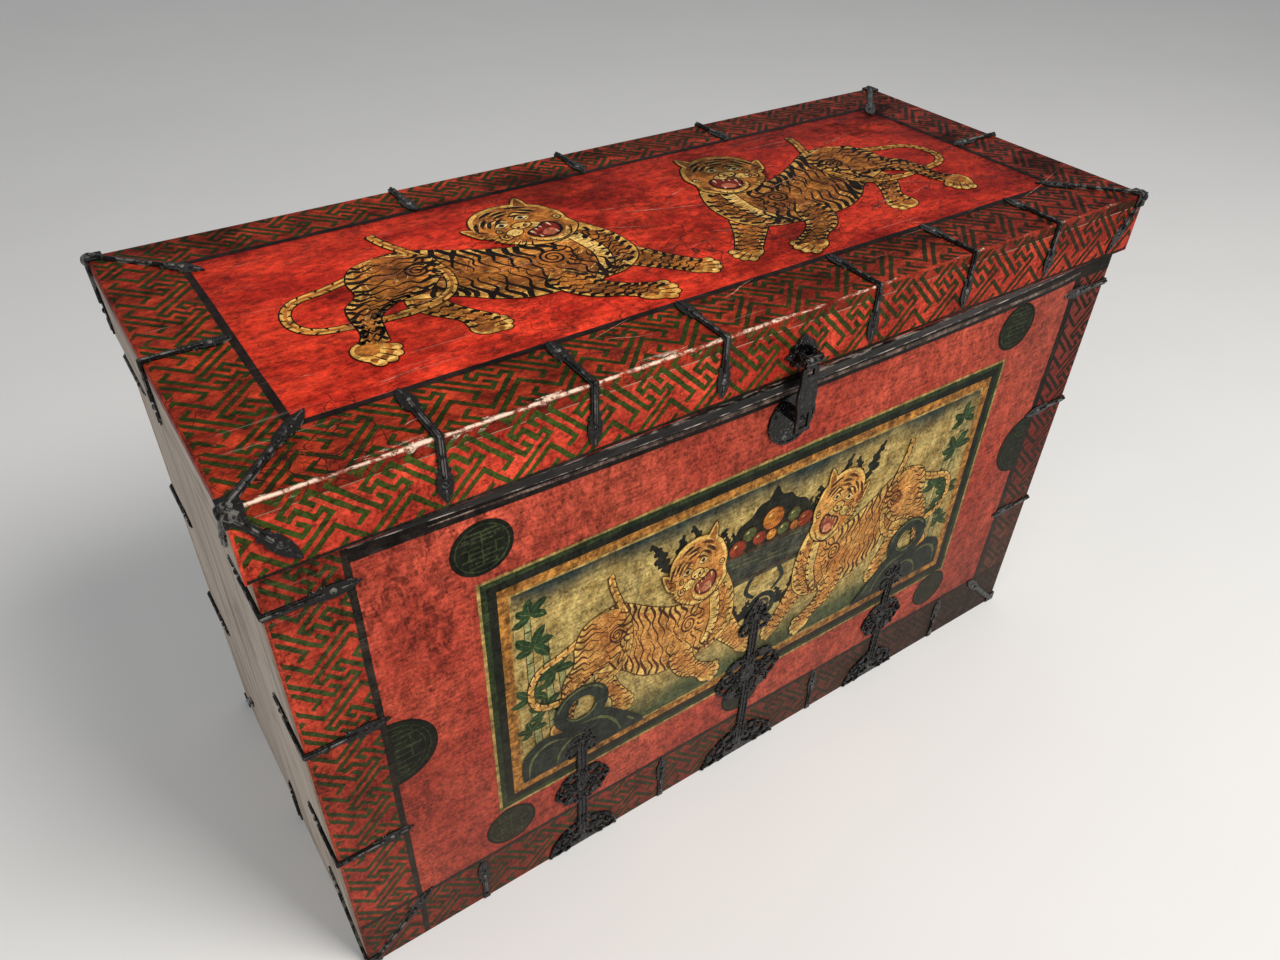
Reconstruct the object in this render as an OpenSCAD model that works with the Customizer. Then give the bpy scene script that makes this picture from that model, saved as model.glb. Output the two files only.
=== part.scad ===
// Storage trunk: a painted board box under a shallow boxed lid, bound with forged iron
// straps, hung on two pin hinges at the back and closed by a hasp over a staple.
// Millimetres. The origin is the middle of the underside. X runs along the front to the
// viewer's right, Y runs from the front to the back, Z is up.

/* [Lid] */
// Length of the lid along the front
lid_w = 1100; // [900:10:1400]
// Depth of the lid from front to back
lid_d = 468; // [380:2:620]
// Height of the lid, top board included
lid_h = 73; // [68:1:110]
// Thickness of the lid's top board
lid_top_t = 14; // [10:1:18]
// Thickness of the lid's four aprons
lid_apron_t = 14; // [10:1:20]
// Rounding of the lid's upper edges, worn by use
lid_edge_r = 2.5; // [1:0.5:5]
// Width of each batten under the lid's top
batten_w = 40; // [25:1:60]
// Thickness of each batten under the lid's top
batten_t = 13; // [8:1:18]
// Distance of each batten from the lid's middle
batten_x = 250; // [150:5:340]

/* [Box] */
// Height of the closed trunk
trunk_h = 703; // [600:1:860]
// Thickness of the front, back and side boards
board_t = 20; // [16:1:26]
// Thickness of the bottom board
bottom_t = 18; // [12:1:24]
// How far the front board stands back from the lid's front
front_set = 10; // [6:0.5:12]
// How far each side board stands in from the lid's end
side_set = 6; // [3:0.5:10]
// Width of the narrow board at the left end of the front
edge_board_w = 114; // [100:1:150]
// Rounding of the front's upright edges
box_edge_r = 2; // [1:0.5:4]

/* [Front rim] */
// Height of the rim strip under the lid
rim_h = 10; // [7:0.5:14]
// How far the bowed rim strip stands out of the front board at its middle
rim_proud = 15.5; // [11:0.5:17]
// How far each end of the rim strip lies in from the box's end
rim_in = 74; // [40:1:120]

/* [Iron straps] */
// Thickness of the forged plate
plate_t = 2; // [1.6:0.1:3]
// Width of a strap's neck
neck_w = 8; // [6:0.5:10]
// Radius of the rib along a strap
rib_r = 1.9; // [1:0.1:2.5]
// Width of a strap's leaf
leaf_w = 15; // [12:0.5:18]
// Length of a leaf on the lid's straps
leaf_l = 40; // [34:1:48]
// Length of a leaf on the box's straps and the corner irons
long_leaf_l = 50; // [44:1:58]
// How far the lid's front straps reach over the top
lid_front_run = 80; // [66:1:100]
// How far the lid's back straps reach over the top
lid_back_run = 68; // [60:1:90]
// How far the lid's end straps reach over the top
lid_end_run = 78; // [66:1:100]
// Space left between a strap's tip and the lid's lower edge
lid_tip_space = 7; // [4:0.5:12]
// Distance from the lid's middle to its first front strap
lid_strap_first = 98; // [80:1:110]
// Spacing of the lid's front straps
lid_strap_pitch = 143; // [110:1:160]
// Distance from each hinge in to the outer back strap of the lid beside it
back_strap_in = 108; // [50:1:140]
// How far the straps round the upright edges reach over the front and back
edge_run = 82; // [70:1:95]
// How far the straps round the upright edges reach over the sides
edge_side_run = 88; // [74:1:100]
// Drop of the highest upright-edge strap below the box's top
edge_strap_drop = 46; // [34:1:60]
// Spacing of the upright-edge straps
edge_strap_pitch = 182; // [150:1:200]
// How far the bottom straps reach up the boards
bottom_run = 84; // [66:1:100]

/* [Corner irons] */
// How far a lid corner iron reaches in over the top, along each edge
lid_corner_in = 92; // [76:1:100]
// How far in from the end the tip of a lid corner iron's lower arm lies
lid_corner_tip = 46; // [36:1:60]
// How far a bottom corner iron reaches in, along each edge
box_corner_in = 88; // [76:1:96]
// Size of the plate folded over each corner
corner_cap = 15; // [12:0.5:20]

/* [Pierced mounts] */
// Width of the middle mount's foot plate
mid_foot_w = 128; // [110:1:140]
// Height of the middle mount's foot plate
mid_foot_h = 65; // [56:1:76]
// Width of the middle mount's waist plate
mid_waist_w = 108; // [96:1:120]
// Height of the middle mount's waist plate
mid_waist_h = 86; // [76:1:92]
// Height of the middle mount's waist plate above the floor
mid_waist_z = 165; // [150:1:180]
// Width of the middle mount's crown plate
mid_crown_w = 52; // [46:1:60]
// Height of the middle mount's crown plate above the floor
mid_crown_z = 273; // [258:1:290]
// Width of an end mount's foot plate
end_foot_w = 100; // [90:1:116]
// Height of an end mount's foot plate
end_foot_h = 60; // [52:1:66]
// Width of an end mount's waist plate
end_waist_w = 76; // [68:1:86]
// Height of an end mount's waist plate
end_waist_h = 66; // [58:1:72]
// Height of an end mount's waist plate above the floor
end_waist_z = 125; // [112:1:136]
// Width of an end mount's crown plate
end_crown_w = 46; // [40:1:54]
// Height of an end mount's crown plate above the floor
end_crown_z = 212; // [200:1:226]
// Width of the ribbed strap that joins a mount's plates
stem_w = 15; // [12:0.5:18]

/* [Hinges] */
// Distance of each hinge from the lid's end
hinge_in = 220; // [190:5:260]
// Length of a hinge's barrel
barrel_l = 48; // [40:1:60]
// Radius of a hinge's barrel
barrel_r = 6; // [5:0.5:8]
// Radius of a hinge's pin
pin_r = 2.5; // [2:0.1:3]
// Width of a hinge's leaves
hinge_leaf_w = 30; // [24:1:38]
// Length of a hinge's leaf on the box
hinge_drop = 96; // [80:1:130]

/* [Lock] */
// Place of the hasp along the front, from the middle
hasp_x = 1; // [-20:1:20]
// Metal left between the hasp's slot and its lower end
hasp_foot = 5; // [4:0.5:10]
// Width of the hasp
hasp_w = 26; // [24:0.5:30]
// Thickness of the hasp
hasp_t = 3; // [2.5:0.1:4]
// Height of the hasp's pin above the lid's lower edge
hasp_pin_z = 26; // [24:0.5:30]
// How far the hasp's pin stands out of the lid's front
hasp_pin_out = 16; // [15.5:0.5:20]
// Radius of the round lock plate
lock_plate_r = 32; // [28:0.5:36]
// Drop of the lock plate's middle below the box's top
lock_plate_drop = 61; // [57:0.5:66]
// How far the lock plate's middle lies to the right of the hasp
lock_plate_aside = 9; // [7:0.5:10]
// Thickness of the staple's tongue
staple_w = 8; // [7:0.5:9]
// Height of the staple's tongue
staple_h = 13; // [11:0.5:14]
// Radius of the staple's eye for a padlock
staple_eye_r = 2.8; // [2:0.1:3]

/* [Hidden] */
$fa = 6;
$fs = 0.7;

// Finishes
paint_red = "#b23a26";
top_red = "#c22c1a";
dark_paint = "#26231f";
bare_wood = "#aca294";
inner_wood = "#8a6a4a";
iron = "#2c2a28";

// Clearances
lid_gap = 0.3;
nail_play = 0.1;
pin_play = 0.06;
knuckle_gap = 0.4;
floor_gap = 0.4;
seat_gap = 0.3;
swing_gap = 0.6;
slot_play = 2;
overcut = 1;

// Lid and box outlines
lid_end_x = lid_w / 2;
lid_front_y = -lid_d / 2;
lid_back_y = lid_d / 2;
lid_low_z = trunk_h - lid_h;
box_h = lid_low_z - lid_gap;
box_end_x = lid_end_x - side_set;
box_front_y = lid_front_y + front_set;
box_back_y = lid_back_y;
box_w = 2 * box_end_x;
box_d = box_back_y - box_front_y;
box_mid_y = (box_front_y + box_back_y) / 2;

// Nails: a domed head on a short shank
nail_head_r = 3.3;
nail_head_h = 2;
nail_shank_r = 1.2;
nail_shank_l = 8;

// Where the repeated straps stand, as many as the boards have room for
strap_space = 12;
lid_strap_last = lid_end_x - lid_corner_in - leaf_w / 2 - strap_space;
lid_front_x = [for (s = [-1, 1]) for (x = [lid_strap_first : lid_strap_pitch : lid_strap_last]) s * x];
hinge_x = lid_end_x - hinge_in;
lid_back_x = [for (s = [-1, 0, 1]) s * (hinge_x - back_strap_in)];
edge_strap_top = box_h - edge_strap_drop;
edge_strap_low = box_corner_in + leaf_w + strap_space;
edge_strap_z = [for (z = [edge_strap_top : -edge_strap_pitch : edge_strap_low]) z];
mount_pitch = lid_w * 0.231;
bottom_strap_in = lid_w * 0.121;
bottom_strap_out = lid_w * 0.357;
bottom_x = [for (s = [-1, 1]) for (x = [bottom_strap_in, bottom_strap_out])
  if (x < box_end_x - box_corner_in - leaf_w / 2) s * x];
back_bottom_x = [for (s = [-1, 1]) s * bottom_strap_in];

// Hinge line
hinge_y = lid_back_y + barrel_r + seat_gap;
hinge_z = lid_low_z - lid_gap / 2;
hinge_t = 2.5;
knuckle_l = (barrel_l - 2 * knuckle_gap) / 3;
hinge_leaf_notch = barrel_r + 1.2;
hinge_rise = lid_h - 10;
pin_head_r = pin_r + 1.5;
pin_head_t = 2;

// Hasp line
hasp_pin_r = 2.4;
hasp_eye_r = 5;
hasp_eye_w = 13;
ear_w = 4.5;
hasp_y = lid_front_y - hasp_pin_out;
hasp_z = lid_low_z + hasp_pin_z;
lock_plate_x = hasp_x + lock_plate_aside;
lock_plate_z = box_h - lock_plate_drop;
lock_plate_t = 2;
staple_z = lock_plate_z + 15;
staple_tip_y = hasp_y + hasp_t / 2 + swing_gap;
staple_eye_y = staple_tip_y + staple_eye_r + 2;
staple_tang_l = 14;
slot_w = staple_w + 2 * slot_play;
slot_h = staple_h + 2.5 * slot_play;
slot_z = staple_z;
hasp_l = hasp_z - slot_z + slot_h / 2 + hasp_foot;

// Face helpers: on each, local Y is up the board, local X is to the right of a person
// looking at that face, and local Z points out of it
module front_face(x, z, y) { translate([x, y, z]) rotate([90, 0, 0]) children(); }
module back_face(x, z, y) { translate([x, y, z]) rotate([90, 0, 180]) children(); }
module left_face(y, z, x) { translate([x, y, z]) rotate([90, 0, -90]) children(); }
module right_face(y, z, x) { translate([x, y, z]) rotate([90, 0, 90]) children(); }
module end_face(side, y, z, x) {
  if (side < 0) left_face(y, z, -x) children();
  else right_face(y, z, x) children();
}
module top_face(x, y) { translate([x, y, trunk_h]) children(); }

// A leaf with a point at each end, standing along Y with its middle at the origin
module lens(long, wide) {
  r = (long * long / 4 + wide * wide / 4) / wide;
  intersection() {
    translate([r - wide / 2, 0]) circle(r);
    translate([wide / 2 - r, 0]) circle(r);
  }
}

// One leg of a strap: a ribbed neck from the edge at y = 0 to a leaf whose tip is at y = run
module leg(run, leaf, from = -plate_t, rib_from = -plate_t) {
  shoulder_y = run - leaf * 0.84;
  difference() {
    union() {
      linear_extrude(plate_t) {
        translate([-neck_w / 2, from]) square([neck_w, run - leaf * 0.8 - from]);
        translate([0, run - leaf / 2]) lens(leaf, leaf_w);
        for (s = [-1, 1]) {
          translate([s * neck_w * 0.46, shoulder_y]) circle(d = leaf_w * 0.42);
          translate([s * leaf_w * 0.34, run - leaf * 0.64]) circle(d = leaf_w * 0.34);
        }
      }
      leg_rib(rib_from, run - leaf * 0.68, rib_r);
      leg_rib(run - leaf * 0.34, run - leaf * 0.1, rib_r * 0.5);
    }
    translate([0, run - leaf / 2, -overcut])
      cylinder(r = nail_shank_r + nail_play, h = plate_t + 2 * overcut);
  }
}

// A half-round rib along Y with round ends, raised on the plate's face
module leg_rib(y0, y1, r) {
  rib = min(r, plate_t - 0.1);
  translate([0, y0, plate_t]) sphere(rib);
  translate([0, y0, plate_t]) rotate([-90, 0, 0]) cylinder(r = rib, h = y1 - y0);
  translate([0, y1, plate_t]) sphere(rib);
}

// A nail standing on a plate's face, and the blind hole that it needs in the board
module nail() {
  dome_r = (nail_head_r * nail_head_r + nail_head_h * nail_head_h) / (2 * nail_head_h);
  translate([0, 0, plate_t + nail_head_h - dome_r]) intersection() {
    sphere(dome_r);
    translate([0, 0, dome_r - nail_head_h]) cylinder(r = nail_head_r, h = nail_head_h + overcut);
  }
  translate([0, 0, plate_t - nail_shank_l]) cylinder(r = nail_shank_r, h = nail_shank_l);
}
module nail_bore() {
  translate([0, 0, plate_t - nail_shank_l - nail_play])
    cylinder(r = nail_shank_r + nail_play, h = nail_shank_l + overcut);
}
module leaf_nail(run, leaf) { translate([0, run - leaf / 2, 0]) nail(); }
module leaf_bore(run, leaf) { translate([0, run - leaf / 2, 0]) nail_bore(); }

// Draws one leg as iron, as its nail or as the nail's bore
module leg_part(run, leaf, what, from = -plate_t, rib_from = -plate_t) {
  if (what == "iron") leg(run, leaf, from, rib_from);
  if (what == "nail") leaf_nail(run, leaf);
  if (what == "bore") leaf_bore(run, leaf);
}

// An arm of a corner iron is a leg that starts on the plate folded over the corner
arm_from = 6.5;
arm_rib_from = 9.5;
module arm_part(run, what) { leg_part(run, long_leaf_l, what, arm_from, arm_rib_from); }

// Legs of the lid's straps, by face
lid_down_run = lid_h - lid_tip_space;
module lid_front_legs_top(what) {
  for (x = lid_front_x) top_face(x, lid_front_y) leg_part(lid_front_run, leaf_l, what);
}
module lid_front_legs_down(what) {
  for (x = lid_front_x) front_face(x, trunk_h, lid_front_y) rotate([0, 0, 180])
    leg_part(lid_down_run, leaf_l, what);
}
module lid_back_legs_top(what) {
  for (x = lid_back_x) top_face(x, lid_back_y) rotate([0, 0, 180])
    leg_part(lid_back_run, leaf_l, what);
}
module lid_back_legs_down(what) {
  for (x = lid_back_x) back_face(x, trunk_h, lid_back_y) rotate([0, 0, 180])
    leg_part(lid_down_run, leaf_l, what);
}
module lid_end_leg_top(side, what) {
  top_face(side * lid_end_x, 0) rotate([0, 0, side * 90]) leg_part(lid_end_run, leaf_l, what);
}
module lid_end_leg_down(side, what) {
  end_face(side, 0, trunk_h, lid_end_x) rotate([0, 0, 180]) leg_part(lid_down_run, leaf_l, what);
}

// Arms of the lid's corner irons, by face; end is -1 left or 1 right, row is -1 front or 1 back
lid_corner_run = lid_corner_in * sqrt(2);
lid_arm_angle = atan2(lid_corner_tip, lid_down_run);
lid_arm_run = sqrt(lid_corner_tip * lid_corner_tip + lid_down_run * lid_down_run);
module lid_corner_arm_top(end, row, what) {
  turn = row < 0 ? end * 45 : end * 135;
  top_face(end * lid_end_x, row * lid_back_y) rotate([0, 0, turn])
    arm_part(lid_corner_run, what);
}
module lid_corner_arm_long(end, row, what) {
  if (row < 0) front_face(end * lid_end_x, trunk_h, lid_front_y)
    rotate([0, 0, 180 - end * lid_arm_angle]) arm_part(lid_arm_run, what);
  else back_face(end * lid_end_x, trunk_h, lid_back_y)
    rotate([0, 0, 180 + end * lid_arm_angle]) arm_part(lid_arm_run, what);
}
module lid_corner_arm_end(end, row, what) {
  end_face(end, row * lid_back_y, trunk_h, lid_end_x)
    rotate([0, 0, 180 - end * row * lid_arm_angle]) arm_part(lid_arm_run, what);
}
// Local X and Y run from the corner along the boards, whichever corner it is
module corner_place(end, row, x, y, z) {
  translate([end * x, row * y, z]) mirror([end > 0 ? 1 : 0, 0, 0])
    mirror([0, row > 0 ? 1 : 0, 0]) children();
}
module lid_corner(end, row) {
  lid_corner_arm_top(end, row, "iron");
  lid_corner_arm_long(end, row, "iron");
  lid_corner_arm_end(end, row, "iron");
  size = corner_cap + plate_t;
  difference() {
    corner_place(end, row, lid_end_x, lid_back_y, trunk_h)
      translate([-plate_t, -plate_t, -corner_cap]) cube([size, size, size]);
    translate([-lid_end_x, lid_front_y, lid_low_z]) cube([lid_w, lid_d, lid_h]);
  }
}

// Legs of the straps round the box's upright edges
module edge_leg_front(end, z, what) {
  front_face(end * box_end_x, z, box_front_y) rotate([0, 0, end * 90])
    leg_part(edge_run, long_leaf_l, what);
}
module edge_leg_back(end, z, what) {
  back_face(end * box_end_x, z, box_back_y) rotate([0, 0, -end * 90])
    leg_part(edge_run, long_leaf_l, what);
}
module edge_leg_side(end, row, z, what) {
  y = row < 0 ? box_front_y : box_back_y;
  end_face(end, y, z, box_end_x) rotate([0, 0, end * row * 90])
    leg_part(edge_side_run, long_leaf_l, what);
}
module edge_straps(end, row) {
  for (z = edge_strap_z) {
    if (row < 0) edge_leg_front(end, z, "iron");
    else edge_leg_back(end, z, "iron");
    edge_leg_side(end, row, z, "iron");
  }
}

// Bottom straps: a leg up the board, with a second nail near its foot
foot_nail_y = 10;
foot_rib_y = foot_nail_y + nail_head_r + rib_r + 1;
module bottom_leg(what) {
  if (what == "iron") difference() {
    leg(bottom_run, long_leaf_l, floor_gap, foot_rib_y);
    plate_hole(foot_nail_y);
  }
  if (what == "nail") {
    leaf_nail(bottom_run, long_leaf_l);
    translate([0, foot_nail_y, 0]) nail();
  }
  if (what == "bore") {
    leaf_bore(bottom_run, long_leaf_l);
    translate([0, foot_nail_y, 0]) nail_bore();
  }
}
module plate_hole(y) {
  translate([0, y, -overcut])
    cylinder(r = nail_shank_r + nail_play, h = plate_t + 2 * overcut);
}
module front_bottom_legs(what) {
  for (x = bottom_x) front_face(x, 0, box_front_y) bottom_leg(what);
}
module back_bottom_legs(what) {
  for (x = back_bottom_x) back_face(x, 0, box_back_y) bottom_leg(what);
}
module side_bottom_leg(end, what) { end_face(end, box_mid_y, 0, box_end_x) bottom_leg(what); }

// Irons over the box's lower corners: an arm on each board and a knob over the corner
box_corner_run = box_corner_in * sqrt(2);
module foot_arm_long(end, row, what) {
  if (row < 0) front_face(end * box_end_x, 0, box_front_y) rotate([0, 0, end * 45])
    arm_part(box_corner_run, what);
  else back_face(end * box_end_x, 0, box_back_y) rotate([0, 0, -end * 45])
    arm_part(box_corner_run, what);
}
module foot_arm_side(end, row, what) {
  y = row < 0 ? box_front_y : box_back_y;
  end_face(end, y, 0, box_end_x) rotate([0, 0, end * row * 45])
    arm_part(box_corner_run, what);
}
module foot_iron(end, row) {
  size = corner_cap + plate_t;
  y = row < 0 ? -box_front_y : box_back_y;
  foot_arm_long(end, row, "iron");
  foot_arm_side(end, row, "iron");
  difference() {
    corner_place(end, row, box_end_x, y, floor_gap)
      translate([-plate_t, -plate_t, 0]) cube([size, size, corner_cap]);
    translate([-box_end_x, box_front_y, -overcut]) cube([box_w, box_d, box_h]);
  }
}

// Boards of the box
// What a rounding tool takes off a corner whose wood lies to +X and +Y
module arris(r) {
  difference() {
    translate([-overcut, -overcut]) square(r + overcut);
    translate([r, r]) circle(r);
  }
}
module upright_edge(end) {
  translate([end * box_end_x, box_front_y, -overcut]) linear_extrude(box_h + 2 * overcut)
    mirror([end > 0 ? 1 : 0, 0]) arris(box_edge_r);
}
module front_bores(end) {
  for (z = edge_strap_z) edge_leg_front(end, z, "bore");
  foot_arm_long(end, -1, "bore");
  front_bottom_legs("bore");
}
module front_panel() {
  seam_x = -box_end_x + edge_board_w;
  color(paint_red) difference() {
    translate([seam_x, box_front_y, 0]) cube([box_end_x - seam_x, board_t, box_h]);
    upright_edge(1);
    front_bores(1);
    mount_nail_places() nail_bore();
    lock_nail_places() nail_bore();
    staple_hole();
  }
}
module front_edge_board() {
  color(paint_red) difference() {
    translate([-box_end_x, box_front_y, 0]) cube([edge_board_w, board_t, box_h]);
    upright_edge(-1);
    front_bores(-1);
  }
}
module back_board() {
  color(bare_wood) difference() {
    translate([-box_end_x, box_back_y - board_t, 0]) cube([box_w, board_t, box_h]);
    for (end = [-1, 1]) {
      for (z = edge_strap_z) edge_leg_back(end, z, "bore");
      foot_arm_long(end, 1, "bore");
      hinge_box_nail_places(end) nail_bore();
    }
    back_bottom_legs("bore");
  }
}
module side_board(end) {
  x = end < 0 ? -box_end_x : box_end_x - board_t;
  color(bare_wood) difference() {
    translate([x, box_front_y + board_t, 0]) cube([board_t, box_d - 2 * board_t, box_h]);
    for (row = [-1, 1]) {
      for (z = edge_strap_z) edge_leg_side(end, row, z, "bore");
      foot_arm_side(end, row, "bore");
    }
    side_bottom_leg(end, "bore");
  }
}
module left_side() { side_board(-1); }
module right_side() { side_board(1); }
module bottom_board() {
  color(inner_wood) translate([-box_end_x + board_t, box_front_y + board_t, 0])
    cube([box_w - 2 * board_t, box_d - 2 * board_t, bottom_t]);
}

// Bowed rim strip along the top of the front
module front_rim() {
  rim_l = box_w - 2 * rim_in;
  steps = 48;
  bow = [for (i = [0 : steps]) let (t = 2 * i / steps - 1) [t * rim_l / 2, -rim_proud * (1 - t * t)]];
  color(dark_paint) translate([0, box_front_y, box_h - rim_h])
    linear_extrude(rim_h) polygon(bow);
}

// Straps and corner irons of the box
module left_edge_straps() { color(iron) edge_straps(-1, -1); }
module right_edge_straps() { color(iron) edge_straps(1, -1); }
module rear_left_edge_straps() { color(iron) edge_straps(-1, 1); }
module rear_right_edge_straps() { color(iron) edge_straps(1, 1); }
module front_bottom_straps() { color(iron) front_bottom_legs("iron"); }
module back_bottom_straps() { color(iron) back_bottom_legs("iron"); }
module side_bottom_straps() { color(iron) for (end = [-1, 1]) side_bottom_leg(end, "iron"); }
module front_left_foot_iron() { color(iron) foot_iron(-1, -1); }
module front_right_foot_iron() { color(iron) foot_iron(1, -1); }
module rear_left_foot_iron() { color(iron) foot_iron(-1, 1); }
module rear_right_foot_iron() { color(iron) foot_iron(1, 1); }

// Pierced mounts: three openwork plates joined by a ribbed stem
module crescent(r) {
  difference() {
    circle(r);
    translate([r * 0.5, r * 0.25]) circle(r * 0.8);
  }
}
module foot_plate(w, h) {
  rise = h * 0.84;
  arch_r = (w * w / 4 + rise * rise) / (2 * rise);
  difference() {
    intersection() {
      union() {
        translate([0, rise - arch_r]) circle(arch_r);
        translate([0, h * 0.8]) circle(h * 0.2);
        for (s = [-1, 1]) translate([s * (w / 2 - h * 0.1), h * 0.06]) circle(h * 0.1);
      }
      translate([-w, 0]) square([2 * w, 2 * h]);
    }
    for (s = [0, 1]) mirror([s, 0]) {
      translate([w * 0.15, h * 0.62]) crescent(h * 0.11);
      translate([w * 0.28, h * 0.38]) rotate(200) crescent(h * 0.13);
      translate([w * 0.13, h * 0.3]) rotate(90) crescent(h * 0.1);
      translate([w * 0.38, h * 0.17]) rotate(30) crescent(h * 0.1);
      translate([w * 0.45, h * 0.06]) circle(h * 0.035);
      translate([w * 0.24, h * 0.12]) circle(h * 0.05);
      translate([w * 0.1, h * 0.47]) circle(h * 0.04);
      translate([w * 0.27, h * 0.6]) circle(h * 0.04);
      translate([w * 0.39, h * 0.36]) circle(h * 0.035);
    }
  }
}
module waist_plate(w, h) {
  difference() {
    union() {
      rotate(90) lens(w, h * 0.6);
      for (sx = [-1, 1]) for (sy = [-1, 1]) {
        translate([sx * w * 0.17, sy * h * 0.2]) circle(h * 0.25);
        translate([sx * w * 0.33, sy * h * 0.08]) circle(h * 0.17);
      }
      for (sy = [-1, 1]) translate([0, sy * h * 0.34]) circle(h * 0.16);
    }
    for (sx = [0, 1]) for (sy = [0, 1]) mirror([sx, 0]) mirror([0, sy]) {
      translate([w * 0.19, h * 0.27]) rotate(30) crescent(h * 0.11);
      translate([w * 0.32, h * 0.11]) rotate(200) crescent(h * 0.085);
      translate([w * 0.17, h * 0.09]) circle(h * 0.04);
    }
    for (s = [-1, 1]) translate([s * w * 0.42, 0]) circle(h * 0.035);
  }
}
module crown_plate(w) {
  difference() {
    union() {
      for (s = [-1, 1]) translate([s * w * 0.25, -w * 0.32]) circle(w * 0.25);
      circle(w * 0.36);
      translate([0, w * 0.18]) lens(w * 0.8, w * 0.4);
    }
    for (s = [0, 1]) mirror([s, 0]) {
      translate([w * 0.29, -w * 0.32]) rotate(20) crescent(w * 0.12);
      translate([w * 0.19, w * 0.14]) rotate(60) crescent(w * 0.08);
      translate([w * 0.22, -w * 0.07]) circle(w * 0.04);
    }
    translate([0, w * 0.34]) circle(w * 0.04);
  }
}
module mount_stem(z0, z1) {
  translate([-stem_w / 2, z0, 0]) cube([stem_w, z1 - z0, plate_t]);
  for (s = [-1, 0, 1]) translate([s * stem_w * 0.36, 0, 0])
    leg_rib(z0 + rib_r, z1 - rib_r, s == 0 ? rib_r * 0.5 : rib_r * 0.8);
}
module pierced_mount(foot_w, foot_h, waist_w, waist_h, waist_z, crown_w, crown_z) {
  difference() {
    union() {
      translate([0, floor_gap, 0]) linear_extrude(plate_t) foot_plate(foot_w, foot_h - floor_gap);
      translate([0, waist_z, 0]) linear_extrude(plate_t) waist_plate(waist_w, waist_h);
      translate([0, crown_z, 0]) linear_extrude(plate_t) crown_plate(crown_w);
      mount_stem(foot_h * 0.42, waist_z - waist_h * 0.16);
      mount_stem(waist_z + waist_h * 0.16, crown_z - crown_w * 0.14);
    }
    for (z = mount_nail_z(foot_h, waist_z, crown_w, crown_z)) plate_hole(z);
  }
}
// Nails stand in the plates, clear of the ribbed stems
function mount_nail_z(foot_h, waist_z, crown_w, crown_z) =
  [foot_h * 0.2, waist_z, crown_z + crown_w * 0.04];
mount_x = [for (i = [-1, 0, 1]) i * mount_pitch];
mid_mount_z = mount_nail_z(mid_foot_h, mid_waist_z, mid_crown_w, mid_crown_z);
end_mount_z = mount_nail_z(end_foot_h, end_waist_z, end_crown_w, end_crown_z);
module mount_nail_places() {
  for (x = mount_x) for (z = x == 0 ? mid_mount_z : end_mount_z)
    front_face(x, z, box_front_y) children();
}
module end_mount(i) {
  color(iron) front_face(i * mount_pitch, 0, box_front_y) pierced_mount(
    end_foot_w, end_foot_h, end_waist_w, end_waist_h, end_waist_z, end_crown_w, end_crown_z);
}
module left_pierced_mount() { end_mount(-1); }
module right_pierced_mount() { end_mount(1); }
module middle_pierced_mount() {
  color(iron) front_face(0, 0, box_front_y) pierced_mount(
    mid_foot_w, mid_foot_h, mid_waist_w, mid_waist_h, mid_waist_z, mid_crown_w, mid_crown_z);
}

// Round lock plate with a raised edge, and the staple that stands through it
module lock_nail_places() {
  for (a = [-20 : 90 : 250]) front_face(lock_plate_x + cos(a) * lock_plate_r * 0.74,
    lock_plate_z + sin(a) * lock_plate_r * 0.74, box_front_y) children();
}
module staple_hole() {
  translate([hasp_x - staple_w / 2 - nail_play, box_front_y - overcut - lock_plate_t,
    staple_z - staple_h / 2 - nail_play])
    cube([staple_w + 2 * nail_play, staple_tang_l + lock_plate_t + overcut + nail_play,
      staple_h + 2 * nail_play]);
}
module lock_plate() {
  rim_w = 2.6;
  color(iron) difference() {
    front_face(lock_plate_x, lock_plate_z, box_front_y) {
      cylinder(r = lock_plate_r, h = lock_plate_t);
      difference() {
        cylinder(r = lock_plate_r, h = lock_plate_t + 1);
        translate([0, 0, -overcut]) cylinder(r = lock_plate_r - rim_w, h = lock_plate_t + 3 * overcut);
      }
    }
    staple_hole();
    lock_nail_places() translate([0, 0, -overcut])
      cylinder(r = nail_shank_r + nail_play, h = lock_plate_t + 2 * overcut);
  }
}
module lock_staple() {
  out = box_front_y - staple_tip_y;
  nose_r = staple_h / 2;
  color(iron) difference() {
    union() {
      translate([hasp_x - staple_w / 2, staple_tip_y + nose_r, staple_z - staple_h / 2])
        cube([staple_w, out - nose_r + staple_tang_l, staple_h]);
      translate([hasp_x - staple_w / 2, staple_tip_y + nose_r, staple_z])
        rotate([0, 90, 0]) cylinder(r = nose_r, h = staple_w);
    }
    translate([hasp_x - staple_w, staple_eye_y, staple_z])
      rotate([0, 90, 0]) cylinder(r = staple_eye_r, h = 2 * staple_w);
  }
}

// Nails of the box, by board
module front_nails() {
  color(iron) {
    for (end = [-1, 1]) {
      for (z = edge_strap_z) edge_leg_front(end, z, "nail");
      foot_arm_long(end, -1, "nail");
    }
    front_bottom_legs("nail");
    mount_nail_places() nail();
    lock_nail_places() nail();
  }
}
module side_nails(end) {
  color(iron) {
    for (row = [-1, 1]) {
      for (z = edge_strap_z) edge_leg_side(end, row, z, "nail");
      foot_arm_side(end, row, "nail");
    }
    side_bottom_leg(end, "nail");
  }
}
module left_side_nails() { side_nails(-1); }
module right_side_nails() { side_nails(1); }
module back_nails() {
  color(iron) {
    for (end = [-1, 1]) {
      for (z = edge_strap_z) edge_leg_back(end, z, "nail");
      foot_arm_long(end, 1, "nail");
      hinge_box_nail_places(end) nail();
    }
    back_bottom_legs("nail");
  }
}

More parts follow.
